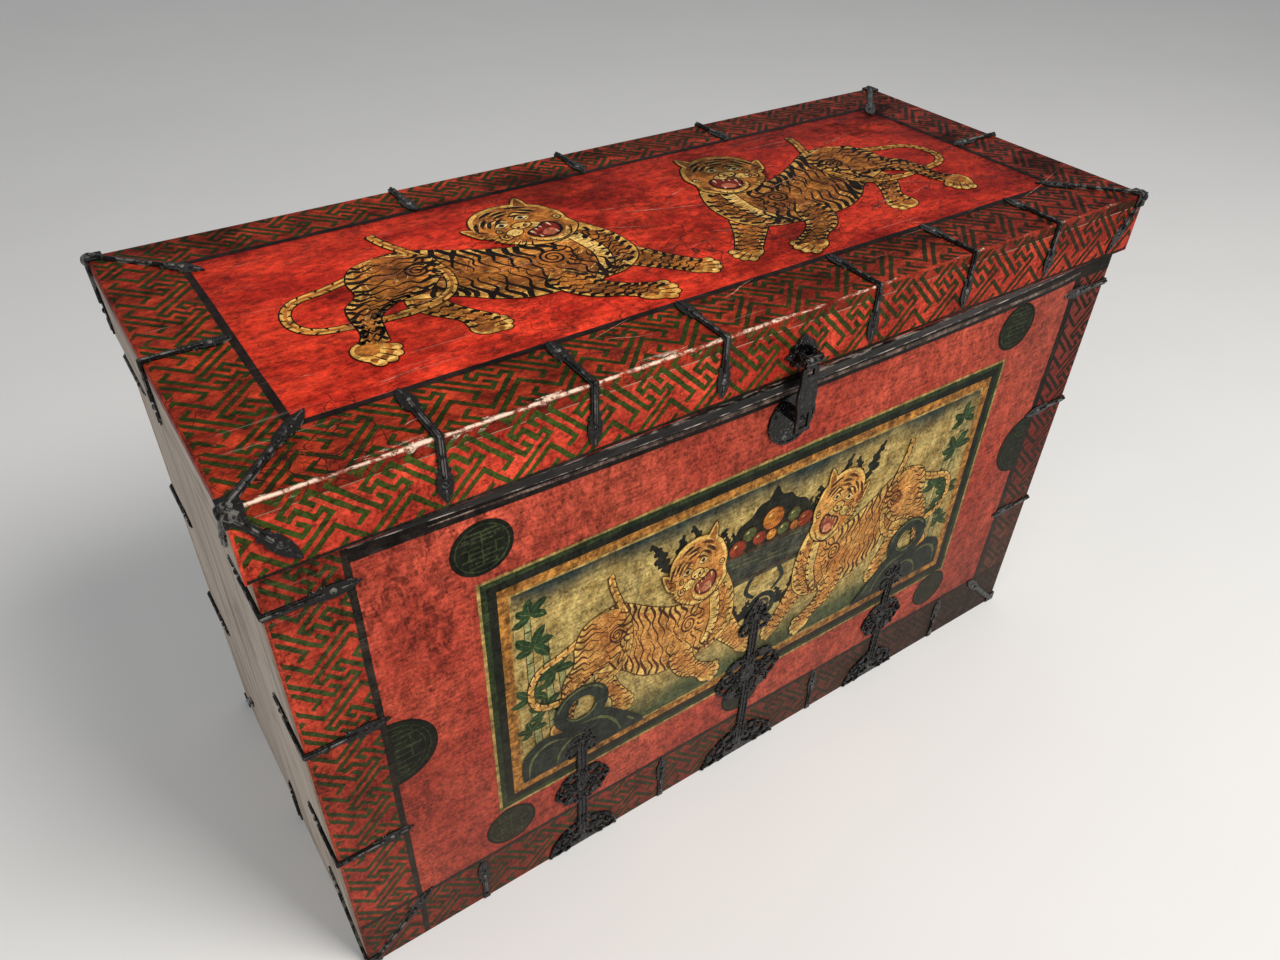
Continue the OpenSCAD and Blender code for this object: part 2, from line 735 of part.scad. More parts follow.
// Hinges: leaves on the back boards, knuckles in line, one pin each
module barrel(x0, long) {
  translate([x0, hinge_y, hinge_z]) rotate([0, 90, 0]) cylinder(r = barrel_r, h = long);
}
module barrel_bore(x) {
  translate([x - barrel_l, hinge_y, hinge_z]) rotate([0, 90, 0])
    cylinder(r = pin_r + pin_play, h = 2 * barrel_l);
}
module hinge_plate_holes(x, zs) {
  for (z = zs) back_face(x, z, lid_back_y) translate([0, 0, -overcut])
    cylinder(r = nail_shank_r + nail_play, h = hinge_t + 2 * overcut);
}
hinge_box_nail_z = [hinge_z - hinge_drop * 0.3, hinge_z - hinge_drop * 0.72];
hinge_lid_nail_z = [hinge_z + hinge_rise * 0.34, hinge_z + hinge_rise * 0.72];
module hinge_box_nail_places(end) {
  for (z = hinge_box_nail_z) back_face(end * hinge_x, z, lid_back_y + hinge_t - plate_t) children();
}
module hinge_lid_nail_places(end) {
  for (z = hinge_lid_nail_z) back_face(end * hinge_x, z, lid_back_y + hinge_t - plate_t) children();
}
module hinge_box_leaf(end) {
  x = end * hinge_x;
  color(iron) difference() {
    union() {
      for (s = [-1, 1]) {
        x0 = s < 0 ? x - barrel_l / 2 : x + barrel_l / 2 - knuckle_l;
        barrel(x0, knuckle_l);
        translate([x0, lid_back_y, hinge_z - hinge_leaf_notch - 4])
          cube([knuckle_l, hinge_t, hinge_leaf_notch + 4]);
      }
      translate([x - barrel_l / 2, lid_back_y, hinge_z - hinge_leaf_notch - 12])
        cube([barrel_l, hinge_t, 12]);
      back_face(x, hinge_z - hinge_leaf_notch, lid_back_y) rotate([0, 0, 180])
        linear_extrude(hinge_t) hinge_outline(hinge_drop - hinge_leaf_notch);
    }
    barrel_bore(x);
    hinge_plate_holes(x, hinge_box_nail_z);
  }
}
module hinge_lid_leaf(end) {
  x = end * hinge_x;
  color(iron) difference() {
    union() {
      barrel(x - knuckle_l / 2, knuckle_l);
      translate([x - knuckle_l / 2, lid_back_y, hinge_z])
        cube([knuckle_l, hinge_t, hinge_leaf_notch + 4]);
      back_face(x, hinge_z + hinge_leaf_notch, lid_back_y)
        linear_extrude(hinge_t) hinge_outline(hinge_rise - hinge_leaf_notch);
    }
    barrel_bore(x);
    hinge_plate_holes(x, hinge_lid_nail_z);
  }
}
module hinge_outline(long) {
  translate([-hinge_leaf_w / 2, 0]) square([hinge_leaf_w, long * 0.5]);
  translate([0, long / 2]) lens(long, hinge_leaf_w * 1.1);
}
module hinge_pin(end) {
  x = end * hinge_x;
  long = barrel_l + 2 * knuckle_gap;
  color(iron) translate([x - long / 2, hinge_y, hinge_z]) rotate([0, 90, 0]) {
    cylinder(r = pin_r, h = long);
    translate([0, 0, -pin_head_t]) cylinder(r = pin_head_r, h = pin_head_t);
    translate([0, 0, long]) cylinder(r = pin_head_r, h = pin_head_t);
  }
}
module left_hinge_box_leaf() { hinge_box_leaf(-1); }
module right_hinge_box_leaf() { hinge_box_leaf(1); }
module left_hinge_lid_leaf() { hinge_lid_leaf(-1); }
module right_hinge_lid_leaf() { hinge_lid_leaf(1); }
module left_hinge_pin() { hinge_pin(-1); }
module right_hinge_pin() { hinge_pin(1); }

// Boards of the lid
module rounded_section(wide, high) {
  difference() {
    translate([-wide / 2, -high]) square([wide, high]);
    for (s = [-1, 1]) translate([s * wide / 2, 0])
      mirror([s > 0 ? 1 : 0, 0]) mirror([0, 1]) arris(lid_edge_r);
  }
}
module lid_top_blank() {
  intersection() {
    translate([-lid_end_x, 0, trunk_h]) rotate([90, 0, 90])
      linear_extrude(lid_w) rounded_section(lid_d, lid_top_t);
    translate([0, lid_back_y, trunk_h]) rotate([90, 0, 0])
      linear_extrude(lid_d) rounded_section(lid_w, lid_top_t);
  }
}
module lid_top() {
  color(top_red) difference() {
    lid_top_blank();
    lid_front_legs_top("bore");
    lid_back_legs_top("bore");
    for (end = [-1, 1]) {
      lid_end_leg_top(end, "bore");
      for (row = [-1, 1]) lid_corner_arm_top(end, row, "bore");
    }
  }
}
module lid_front_apron() {
  color(paint_red) difference() {
    translate([-lid_end_x, lid_front_y, lid_low_z]) cube([lid_w, lid_apron_t, lid_h - lid_top_t]);
    lid_front_legs_down("bore");
    for (end = [-1, 1]) lid_corner_arm_long(end, -1, "bore");
    eye_nail_places() nail_bore();
  }
}
module lid_back_apron() {
  color(bare_wood) difference() {
    translate([-lid_end_x, lid_back_y - lid_apron_t, lid_low_z])
      cube([lid_w, lid_apron_t, lid_h - lid_top_t]);
    lid_back_legs_down("bore");
    for (end = [-1, 1]) {
      lid_corner_arm_long(end, 1, "bore");
      hinge_lid_nail_places(end) nail_bore();
    }
  }
}
module lid_end_apron(end) {
  x = end < 0 ? -lid_end_x : lid_end_x - lid_apron_t;
  color(bare_wood) difference() {
    translate([x, lid_front_y + lid_apron_t, lid_low_z])
      cube([lid_apron_t, lid_d - 2 * lid_apron_t, lid_h - lid_top_t]);
    lid_end_leg_down(end, "bore");
    for (row = [-1, 1]) lid_corner_arm_end(end, row, "bore");
  }
}
module lid_left_apron() { lid_end_apron(-1); }
module lid_right_apron() { lid_end_apron(1); }
module lid_battens() {
  color(inner_wood) for (s = [-1, 1])
    translate([s * batten_x - batten_w / 2, lid_front_y + lid_apron_t,
      trunk_h - lid_top_t - batten_t])
      cube([batten_w, lid_d - 2 * lid_apron_t, batten_t]);
}

// Straps and corner irons of the lid
module lid_front_straps() {
  color(iron) {
    lid_front_legs_top("iron");
    lid_front_legs_down("iron");
  }
}
module lid_back_straps() {
  color(iron) {
    lid_back_legs_top("iron");
    lid_back_legs_down("iron");
  }
}
module lid_end_strap(end) {
  color(iron) {
    lid_end_leg_top(end, "iron");
    lid_end_leg_down(end, "iron");
  }
}
module lid_left_strap() { lid_end_strap(-1); }
module lid_right_strap() { lid_end_strap(1); }
module lid_front_left_corner() { color(iron) lid_corner(-1, -1); }
module lid_front_right_corner() { color(iron) lid_corner(1, -1); }
module lid_rear_left_corner() { color(iron) lid_corner(-1, 1); }
module lid_rear_right_corner() { color(iron) lid_corner(1, 1); }
module lid_top_nails() {
  color(iron) {
    lid_front_legs_top("nail");
    lid_back_legs_top("nail");
    for (end = [-1, 1]) {
      lid_end_leg_top(end, "nail");
      for (row = [-1, 1]) lid_corner_arm_top(end, row, "nail");
    }
  }
}
module lid_apron_nails() {
  color(iron) {
    lid_front_legs_down("nail");
    lid_back_legs_down("nail");
    eye_nail_places() nail();
    for (end = [-1, 1]) {
      lid_end_leg_down(end, "nail");
      hinge_lid_nail_places(end) nail();
      for (row = [-1, 1]) {
        lid_corner_arm_long(end, row, "nail");
        lid_corner_arm_end(end, row, "nail");
      }
    }
  }
}

// Eye plate of the hasp: a winged leaf with two ears
eye_leaf_l = 40;
eye_leaf_w = 26;
eye_wing_l = 46;
eye_wing_w = 16;
module eye_nail_places() {
  for (s = [-1, 1]) front_face(hasp_x + s * eye_wing_l * 0.34, hasp_z, lid_front_y) children();
}
module hasp_eye_plate() {
  ear_out = hasp_pin_out;
  color(iron) difference() {
    union() {
      front_face(hasp_x, hasp_z, lid_front_y) {
        linear_extrude(plate_t) {
          translate([0, 2]) lens(eye_leaf_l, eye_leaf_w);
          rotate(90) lens(eye_wing_l, eye_wing_w);
          for (s = [-1, 1]) translate([s * 12, 7]) circle(5);
          for (s = [-1, 1]) translate([s * 10, -8]) circle(4.5);
        }
      }
      for (s = [-1, 1]) {
        x0 = hasp_x + s * (hasp_eye_w / 2 + knuckle_gap) - (s < 0 ? ear_w : 0);
        translate([x0, lid_front_y - ear_out, hasp_z - hasp_eye_r]) cube([ear_w, ear_out, 2 * hasp_eye_r]);
        translate([x0, hasp_y, hasp_z]) rotate([0, 90, 0]) cylinder(r = hasp_eye_r, h = ear_w);
      }
    }
    hasp_bore();
    eye_nail_places() translate([0, 0, -overcut])
      cylinder(r = nail_shank_r + nail_play, h = plate_t + 2 * overcut);
  }
}
module hasp_bore() {
  translate([hasp_x - hasp_w, hasp_y, hasp_z]) rotate([0, 90, 0])
    cylinder(r = hasp_pin_r + pin_play, h = 2 * hasp_w);
}
module hasp_pin() {
  long = hasp_eye_w + 2 * knuckle_gap + 2 * ear_w + 2 * knuckle_gap;
  color(iron) translate([hasp_x - long / 2, hasp_y, hasp_z]) rotate([0, 90, 0]) {
    cylinder(r = hasp_pin_r, h = long);
    translate([0, 0, -1.5]) cylinder(r = hasp_pin_r + 1.2, h = 1.5);
    translate([0, 0, long]) cylinder(r = hasp_pin_r + 1.2, h = 1.5);
  }
}

// Hasp: an eye over a windowed shank, a rounded waist and a slotted end
shank_w = 22;
window_w = 9;
window_h = 8;
end_w = 20;
module hasp_outline() {
  shank_z = -hasp_eye_r - 3;
  end_z = slot_z + slot_h / 2 + 5 - hasp_z;
  translate([-shank_w / 2, shank_z - 20]) square([shank_w, 20]);
  translate([-hasp_eye_w / 2, shank_z - 4]) square([hasp_eye_w, 4 - shank_z]);
  translate([0, (shank_z - 10 + end_z) / 2 - 4]) lens(shank_z - end_z + 24, hasp_w);
  translate([-end_w / 2, -hasp_l]) square([end_w, end_z + hasp_l + 3]);
}
module hasp() {
  color(iron) difference() {
    union() {
      translate([hasp_x - hasp_eye_w / 2, hasp_y, hasp_z]) rotate([0, 90, 0])
        cylinder(r = hasp_eye_r, h = hasp_eye_w);
      translate([hasp_x, hasp_y + hasp_t / 2, hasp_z]) rotate([90, 0, 0])
        linear_extrude(hasp_t) hasp_outline();
    }
    hasp_bore();
    translate([hasp_x - window_w / 2, hasp_y - hasp_t, hasp_z - hasp_eye_r - 5 - window_h])
      cube([window_w, 2 * hasp_t, window_h]);
    translate([hasp_x - slot_w / 2, hasp_y - hasp_t, slot_z - slot_h / 2])
      cube([slot_w, 2 * hasp_t, slot_h]);
  }
}

front_panel();
front_edge_board();
back_board();
left_side();
right_side();
bottom_board();
front_rim();
left_edge_straps();
right_edge_straps();
rear_left_edge_straps();
rear_right_edge_straps();
front_bottom_straps();
side_bottom_straps();
back_bottom_straps();
front_left_foot_iron();
front_right_foot_iron();
rear_left_foot_iron();
rear_right_foot_iron();
left_pierced_mount();
middle_pierced_mount();
right_pierced_mount();
lock_plate();
lock_staple();
front_nails();
left_side_nails();
right_side_nails();
back_nails();
left_hinge_box_leaf();
right_hinge_box_leaf();
left_hinge_pin();
right_hinge_pin();
lid_top();
lid_front_apron();
lid_back_apron();
lid_left_apron();
lid_right_apron();
lid_battens();
lid_front_straps();
lid_back_straps();
lid_left_strap();
lid_right_strap();
lid_front_left_corner();
lid_front_right_corner();
lid_rear_left_corner();
lid_rear_right_corner();
lid_top_nails();
lid_apron_nails();
left_hinge_lid_leaf();
right_hinge_lid_leaf();
hasp_eye_plate();
hasp_pin();
hasp();
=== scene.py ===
# %% [markdown]
# # A painted storage trunk
# The boards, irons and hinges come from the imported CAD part, which stays as it is. What the
# CAD part can't hold is made here: the paint, the age in it, the raised scrolls on the
# pierced mounts, and the finish of every board and iron.

# %% Tools
import math
import random

import bmesh
import bpy
from mathutils import Euler, Matrix, Vector, noise


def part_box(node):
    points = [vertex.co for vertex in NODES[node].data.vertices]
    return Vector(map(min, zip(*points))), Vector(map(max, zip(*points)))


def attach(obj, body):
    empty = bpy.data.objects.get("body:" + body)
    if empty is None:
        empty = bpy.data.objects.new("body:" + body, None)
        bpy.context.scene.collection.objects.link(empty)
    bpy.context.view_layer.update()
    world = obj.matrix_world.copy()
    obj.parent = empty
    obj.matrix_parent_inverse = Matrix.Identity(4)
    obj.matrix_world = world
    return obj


# The noise that roughens edges would start from the clock without a seed
noise.seed_set(3)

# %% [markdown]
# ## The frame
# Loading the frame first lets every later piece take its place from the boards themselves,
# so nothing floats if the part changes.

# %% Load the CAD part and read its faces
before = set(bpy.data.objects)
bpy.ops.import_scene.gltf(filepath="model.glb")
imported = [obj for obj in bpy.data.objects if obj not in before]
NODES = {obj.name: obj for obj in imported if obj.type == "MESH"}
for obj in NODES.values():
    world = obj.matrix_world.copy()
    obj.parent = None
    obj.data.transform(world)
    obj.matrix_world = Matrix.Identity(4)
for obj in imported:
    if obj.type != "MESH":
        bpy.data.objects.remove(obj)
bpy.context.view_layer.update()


def node_box(name):
    """Lowest and highest corner of a CAD node in millimetres."""
    low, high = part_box(name)
    return low * 1000, high * 1000


LID_LOW, LID_HIGH = node_box("lid_top")
APRON_LOW = node_box("lid_front_apron")[0]
PANEL_LOW, PANEL_HIGH = node_box("front_panel")
EDGE_LOW = node_box("front_edge_board")[0]
RIM_LOW, RIM_HIGH = node_box("front_rim")
print("lid", tuple(round(v) for v in LID_HIGH - LID_LOW), "box front at", round(PANEL_LOW.y))


# %% [markdown]
# ## Shader maths as plain sums
# Wear and age are sums and products of a few noises. A small class wraps a node's output and
# turns each sum into a Math node, so a finish can be read like a formula. Every other node
# comes from one method.

# %% A socket that can be used in sums, and a finish built from sockets
class Value:
    """A node's output that adds Math nodes when it is used in a sum."""

    def __init__(self, finish, socket):
        self.finish = finish
        self.socket = socket

    def __add__(self, other):
        return self.finish.maths("ADD", self, other)

    def __sub__(self, other):
        return self.finish.maths("SUBTRACT", self, other)

    def __mul__(self, other):
        return self.finish.maths("MULTIPLY", self, other)

    def __rsub__(self, other):
        return self.finish.maths("SUBTRACT", other, self)

    def __abs__(self):
        return self.finish.node("ShaderNodeMath", {"operation": "ABSOLUTE"}, {0: self})

    __radd__ = __add__
    __rmul__ = __mul__


def seen(red, green, blue):
    """A colour given as it looks on a screen, 0 to 255, as the numbers a shader uses."""
    parts = [c / 255 for c in (red, green, blue)]
    return tuple(c / 12.92 if c < 0.04 else ((c + 0.055) / 1.055) ** 2.4 for c in parts) + (1.0,)


class Finish:
    """One material, built node by node on Object coordinates."""

    def __init__(self, name):
        self.material = bpy.data.materials.new(name)
        self.material.use_nodes = True
        self.tree = self.material.node_tree
        self.tree.nodes.clear()
        self.place = self.node("ShaderNodeTexCoord", output="Object")
        self.x, self.y, self.z = self.parts(self.place)

    def node(self, kind, settings=None, sockets=None, output=0):
        made = self.tree.nodes.new(kind)
        for key, value in (settings or {}).items():
            setattr(made, key, value)
        for key, value in (sockets or {}).items():
            if isinstance(value, Value):
                self.tree.links.new(value.socket, made.inputs[key])
            else:
                made.inputs[key].default_value = value
        return Value(self, made.outputs[output]) if made.outputs else None

    def parts(self, vector):
        """The three numbers of a vector."""
        outs = self.node("ShaderNodeSeparateXYZ", {}, {0: vector}).socket.node.outputs
        return [Value(self, outs[i]) for i in range(3)]

    def noise(self, scale, detail=4.0, stretch=None, rough=0.55, warp=0.0):
        """Noise over the piece, squeezed along each axis by the numbers of stretch."""
        where = self.place
        if stretch:
            where = self.node("ShaderNodeVectorMath", {"operation": "MULTIPLY"}, {0: where, 1: stretch})
        sockets = {"Vector": where, "Scale": scale, "Detail": detail, "Roughness": rough, "Distortion": warp}
        return self.node("ShaderNodeTexNoise", {}, sockets)

    def cells(self, scale, bend, bend_scale):
        """Distance to the nearest edge of a net of cells whose edges are bent by a noise."""
        swirl = self.node("ShaderNodeTexNoise", {}, {"Vector": self.place, "Scale": bend_scale}, 1)
        push = self.node("ShaderNodeVectorMath", {"operation": "SCALE"}, {0: swirl, "Scale": bend})
        where = self.node("ShaderNodeVectorMath", {"operation": "ADD"}, {0: self.place, 1: push})
        settings = {"feature": "DISTANCE_TO_EDGE"}
        return self.node("ShaderNodeTexVoronoi", settings, {"Vector": where, "Scale": scale})

    def ramp(self, value, low, high):
        """0 below low and 1 above high, smooth between; low above high turns it round."""
        return self.node(
            "ShaderNodeMapRange",
            {"interpolation_type": "SMOOTHSTEP"},
            {"Value": value, "From Min": low, "From Max": high},
        )

    def across(self, value, start, end):
        """A ramp over a stretch of the trunk, with its start and end in millimetres."""
        return self.ramp(value, start / 1000, end / 1000)

    def most(self, *values):
        """The largest of the values."""
        top = values[0]
        for value in values[1:]:
            top = self.maths("MAXIMUM", top, value)
        return top

    def maths(self, operation, a, b):
        return self.node("ShaderNodeMath", {"operation": operation}, {0: a, 1: b})

    def mix(self, factor, a, b):
        return self.node("ShaderNodeMix", {"data_type": "RGBA"}, {0: factor, 6: a, 7: b}, 2)

    def stained(self, factor, colour, tint):
        """The colour, multiplied by a tint where the factor is high."""
        settings = {"data_type": "RGBA", "blend_type": "MULTIPLY"}
        return self.node("ShaderNodeMix", settings, {0: factor, 6: colour, 7: tint + (1.0,)}, 2)

    def darker(self, colour, amount):
        """The colour times a number."""
        colour = colour if isinstance(colour, Value) else colour[:3]
        return self.node("ShaderNodeVectorMath", {"operation": "SCALE"}, {0: colour, "Scale": amount})

    def done(self, colour, roughness, height=None, depth=0.0003, shine=0.5):
        """The material from its colour, its roughness, a height in metres of depth, and its shine."""
        sockets = {"Base Color": colour, "Roughness": roughness, "Specular IOR Level": shine}
        if height is not None:
            sockets["Normal"] = self.node("ShaderNodeBump", {}, {"Height": height, "Distance": depth})
        skin = self.node("ShaderNodeBsdfPrincipled", {}, sockets)
        self.node("ShaderNodeOutputMaterial", {}, {0: skin})
        return self.material


# %% [markdown]
# ## Age that crosses every colour
# On an old painted board the same crack, scratch and stain runs through the ground and
# whatever is painted on it. So age isn't part of any one colour: two functions add it, one for
# the lid's top and one for the front, and every paint on that side goes through its function.
# Because they read Object coordinates in metres, their marks line up from piece to piece.
# Stains and grime multiply the colour below them, so that black paint stays black.

# %% Age on the top and on the front
TOP_LINE_SIDE = 474.0
TOP_LINE_FRONT = LID_LOW.y + 76.0
TOP_LINE_BACK = LID_HIGH.y - 66.0
FRONT_LINE_LEFT = EDGE_LOW.x + 72.5
FRONT_LINE_RIGHT = PANEL_HIGH.x - 65.0
FRONT_LINE_LOW = 83.0
GESSO = seen(214, 186, 170)
GRIME = seen(38, 24, 20)
PAINT_SHINE = 0.05
PAINT_DEPTH = 0.00025
GROUND_DEPTH = 0.0003


def chipped_arris(f, colour, edge, flake):
    """Paint knocked off the lid's front arris, down to the pale gesso, more at the left."""
    chips = f.noise(60.0, 6.0, (0.3, 1.0, 1.0), 0.78)
    far = f.across(f.x, -300, 300) * 0.13
    bare = f.most(edge * f.ramp(chips - far, 0.38, 0.48), flake * f.ramp(chips - far, 0.55, 0.58))
    clean = f.ramp(f.noise(150.0, 4.0, None, 0.7) - far, 0.36, 0.52)
    gesso = f.mix(clean, seen(134, 76, 56), seen(236, 209, 184))
    return f.mix(bare, colour, gesso), bare


def top_border(f):
    """1 on the top's border, 0 in its middle."""
    return f.most(
        f.across(abs(f.x), TOP_LINE_SIDE - 2, TOP_LINE_SIDE),
        f.across(f.y, TOP_LINE_FRONT + 2, TOP_LINE_FRONT),
        f.across(f.y, TOP_LINE_BACK - 2, TOP_LINE_BACK),
    )


def aged_top(f, colour):
    """The lid's paint after years of use: blotches, fine cracks, rubs and pale scratches."""
    right = f.across(f.x, 0, 500)
    back = f.across(f.y, -50, 200)
    border = top_border(f)
    stain = f.ramp(f.noise(5.0, 8.0, (1.0, 1.4, 1.0), 0.76), 0.49, 0.61)
    stain = stain * (0.52 + right * 0.26 + back * 0.14)
    smudge = f.ramp(f.noise(46.0, 6.0, (1.0, 1.8, 1.0), 0.76), 0.53, 0.62)
    fine = f.noise(210.0, 4.0, (0.5, 1.0, 1.0), 0.7)
    pick = f.ramp(f.noise(300.0, 3.0, (0.6, 1.0, 1.0)), 0.6, 0.68)
    crack = f.ramp(f.cells(12.0, 0.16, 16.0), 0.011, 0.004) * f.ramp(f.noise(3.2, 3.0), 0.5, 0.57)
    web = f.ramp(f.cells(80.0, 0.02, 50.0), 0.05, 0.015) * f.ramp(f.noise(8.0, 3.0), 0.52, 0.64)
    rub = f.ramp(f.noise(1.0, 2.0, (5.0, 420.0, 60.0), 0.5), 0.68, 0.72)
    rub = rub * f.ramp(f.noise(9.0, 2.0), 0.52, 0.6)
    mottle = f.ramp(f.noise(85.0, 7.0, None, 0.8), 0.4, 0.62)
    speckle = f.ramp(f.noise(520.0, 3.0, (0.7, 1.0, 1.0), 0.7), 0.38, 0.62)
    grain = f.ramp(fine, 0.38, 0.62) * 0.46 + mottle * 0.4 + speckle * 0.24
    soil = border * f.ramp(f.noise(30.0, 7.0, None, 0.76), 0.4, 0.6)
    edge_soil = f.most(f.across(abs(f.x), 380, TOP_LINE_SIDE), f.across(f.y, 80, TOP_LINE_BACK)) * 0.24
    # Darker towards the right and the back of the top
    dim = f.across(f.x, -300, 360) * 0.36 + back * 0.1 + edge_soil
    aged = f.darker(colour, (0.47 + grain) * (1.0 - dim * (1.0 - border * 0.8)))
    aged = f.stained(soil * 0.5, aged, (0.2, 0.3, 0.3))
    aged = f.stained(stain, aged, (0.1, 0.16, 0.2))
    aged = f.stained(smudge * (0.5 + right * 0.2) + pick * 0.5, aged, (0.14, 0.26, 0.3))
    aged = f.mix(crack * 0.8 + web * 0.55, aged, GRIME)
    aged = f.mix(rub * 0.22, aged, GESSO)
    wander = (f.noise(22.0, 5.0, (1.0, 0.3, 0.3), 0.7) - 0.5) * 0.011
    edge = f.across(f.y + wander, LID_LOW.y + 3.4, LID_LOW.y + 1.4)
    edge = edge * f.across(f.z, LID_HIGH.z - 2.6, LID_HIGH.z - 0.6)
    flake = f.across(f.y, LID_LOW.y + 12, LID_LOW.y + 4) * f.across(f.z, LID_HIGH.z - 5, LID_HIGH.z - 1)
    aged, bare = chipped_arris(f, aged, edge, flake)
    roughness = 0.36 + stain * 0.2 + rub * 0.25 + fine * 0.14 + bare * 0.2
    height = fine * 0.5 - crack * 1.2 - web * 0.5 - rub * 0.3 - smudge * 0.3 - pick * 0.3 + bare * 0.5
    return aged, roughness, height


def aged_front(f, colour):
    """The front's paint: pits and dark picks at the upper left, streaks down, grime below."""
    left = f.across(f.x, -100, -460)
    right = f.across(f.x, 100, 500)
    high = f.across(f.z, 120, 500)
    upper = f.across(f.z, 370, 500)
    low = f.across(f.z, 105, 60)
    tall = (1.0, 1.0, 0.55)
    pits = f.ramp(f.noise(280.0, 3.0, tall), 0.57, 0.67) * f.ramp(f.noise(9.0, 5.0, None, 0.65), 0.4, 0.6)
    wide_pits = f.ramp(f.noise(60.0, 7.0, tall, 0.78, 0.6), 0.53, 0.6) * f.ramp(f.noise(7.0, 3.0), 0.42, 0.56)
    streak = f.ramp(f.noise(1.0, 5.0, (130.0, 130.0, 7.0), 0.66), 0.5, 0.72)
    ridge = f.noise(1.0, 4.0, (26.0, 26.0, 260.0), 0.66)
    cloud = f.ramp(f.noise(3.4, 7.0, None, 0.66), 0.42, 0.68)
    fine = f.noise(240.0, 4.0, None, 0.7)
    hair = f.ramp(f.noise(1.0, 2.0, (6.0, 6.0, 460.0), 0.5), 0.68, 0.72)
    hair = hair * f.ramp(f.noise(15.0, 3.0), 0.56, 0.64)
    seam = f.ramp(f.cells(5.0, 0.12, 20.0), 0.004, 0.0014) * f.ramp(f.noise(2.6, 3.0), 0.54, 0.6)
    mottle = f.noise(75.0, 7.0, (1.0, 1.0, 0.7), 0.8)
    speckle = f.ramp(f.noise(560.0, 3.0, None, 0.7), 0.36, 0.64)
    grain = f.ramp(fine, 0.36, 0.64) * 0.38 + f.ramp(mottle, 0.4, 0.62) * 0.42
    grain = grain + f.ramp(ridge, 0.36, 0.64) * 0.24 + speckle * 0.16
    shade = 1.0 + left * (upper * 0.34 - 0.13) - right * (0.1 + high * 0.16)
    aged = f.darker(colour, (0.13 + grain * 1.35) * shade)
    aged = f.stained(cloud * 0.44 + streak * 0.3, aged, (0.24, 0.26, 0.28))
    aged = f.mix(pits * (0.3 + left * high * 0.24), aged, GRIME)
    aged = f.stained(wide_pits * (0.26 + left * high * 0.34), aged, (0.14, 0.2, 0.24))
    aged = f.stained(low * (0.5 + right * 0.25), aged, (0.16, 0.32, 0.36))
    aged = f.mix(seam * 0.5, aged, GRIME)
    aged = f.mix(hair * 0.09 + f.across(f.z, 450, 80) * 0.035, aged, GESSO)
    wander = (f.noise(22.0, 5.0, (1.0, 0.3, 0.3), 0.7) - 0.5) * 0.008
    edge = f.across(f.z + wander, LID_HIGH.z - 2.2, LID_HIGH.z - 0.6)
    flake = f.across(f.z, LID_HIGH.z - 9, LID_HIGH.z - 3)
    aged, bare = chipped_arris(f, aged, edge, flake)
    roughness = 0.42 + fine * 0.16 + pits * 0.2 - streak * 0.06 + bare * 0.2
    height = fine * 0.6 + ridge * 0.6 + mottle * 0.5 + speckle * 0.2 + bare * 0.5
    height = height - pits * 0.8 - wide_pits * (0.4 + left) - seam * 0.8
    return aged, roughness, height


AGED = {"top": aged_top, "front": aged_front}


def paint(name, side, colour, light=None, scale=40.0, shine=0.0):
    """A paint of one colour, mottled with a second, and aged like the board it is on."""
    f = Finish(name)
    base = colour
    if light:
        base = f.mix(f.ramp(f.noise(scale, 5.0, None, 0.6), 0.36, 0.66), colour, light)
    aged, roughness, height = AGED[side](f, base)
    return f.done(aged, roughness - shine, height, PAINT_DEPTH, PAINT_SHINE)


# %% [markdown]
# ## The red grounds
# The top's middle is a clear vermilion, while the borders under the fret are more orange. Masks
# made from a position decide where each red lies, and the dark lines painted later cover the
# place where two reds meet. The backs of these boards were never painted, so a last mask gives
# them raw wood.

# %% Finish of the lid's top, the apron and the box's front
def raw_wood(f):
    """The bare back and edges of a painted board."""
    grain = f.ramp(f.noise(1.4, 6.0, (3.0, 60.0, 60.0), 0.6, 0.4), 0.35, 0.7)
    return f.darker(f.mix(grain, seen(172, 150, 126), seen(128, 104, 82)), 0.76 + f.noise(4.0, 4.0) * 0.4)


def top_ground():
    f = Finish("lid_top_red")
    tone = f.ramp(f.noise(11.0, 7.0, (1.0, 2.2, 1.0), 0.7), 0.36, 0.64)
    middle = f.mix(tone, seen(168, 32, 19), seen(230, 62, 36))
    far = f.across(f.x, -200, 500)
    edge = f.mix(tone, seen(128, 34, 20), f.mix(far, seen(192, 62, 34), seen(146, 52, 36)))
    aged, roughness, height = aged_top(f, f.mix(top_border(f), middle, edge))
    under = f.across(f.z, LID_LOW.z + 1.2, LID_LOW.z + 0.4)
    return f.done(f.mix(under, aged, raw_wood(f)), roughness, height, 0.0004, PAINT_SHINE)


def apron_ground():
    f = Finish("lid_apron_red")
    tone = f.ramp(f.noise(16.0, 6.0, None, 0.65), 0.36, 0.66)
    aged, roughness, height = aged_front(f, f.mix(tone, seen(164, 44, 30), seen(214, 74, 50)))
    inside = f.across(f.y, APRON_LOW.y + 2, APRON_LOW.y + 4)
    return f.done(f.mix(inside, aged, raw_wood(f)), roughness, height, GROUND_DEPTH, PAINT_SHINE)


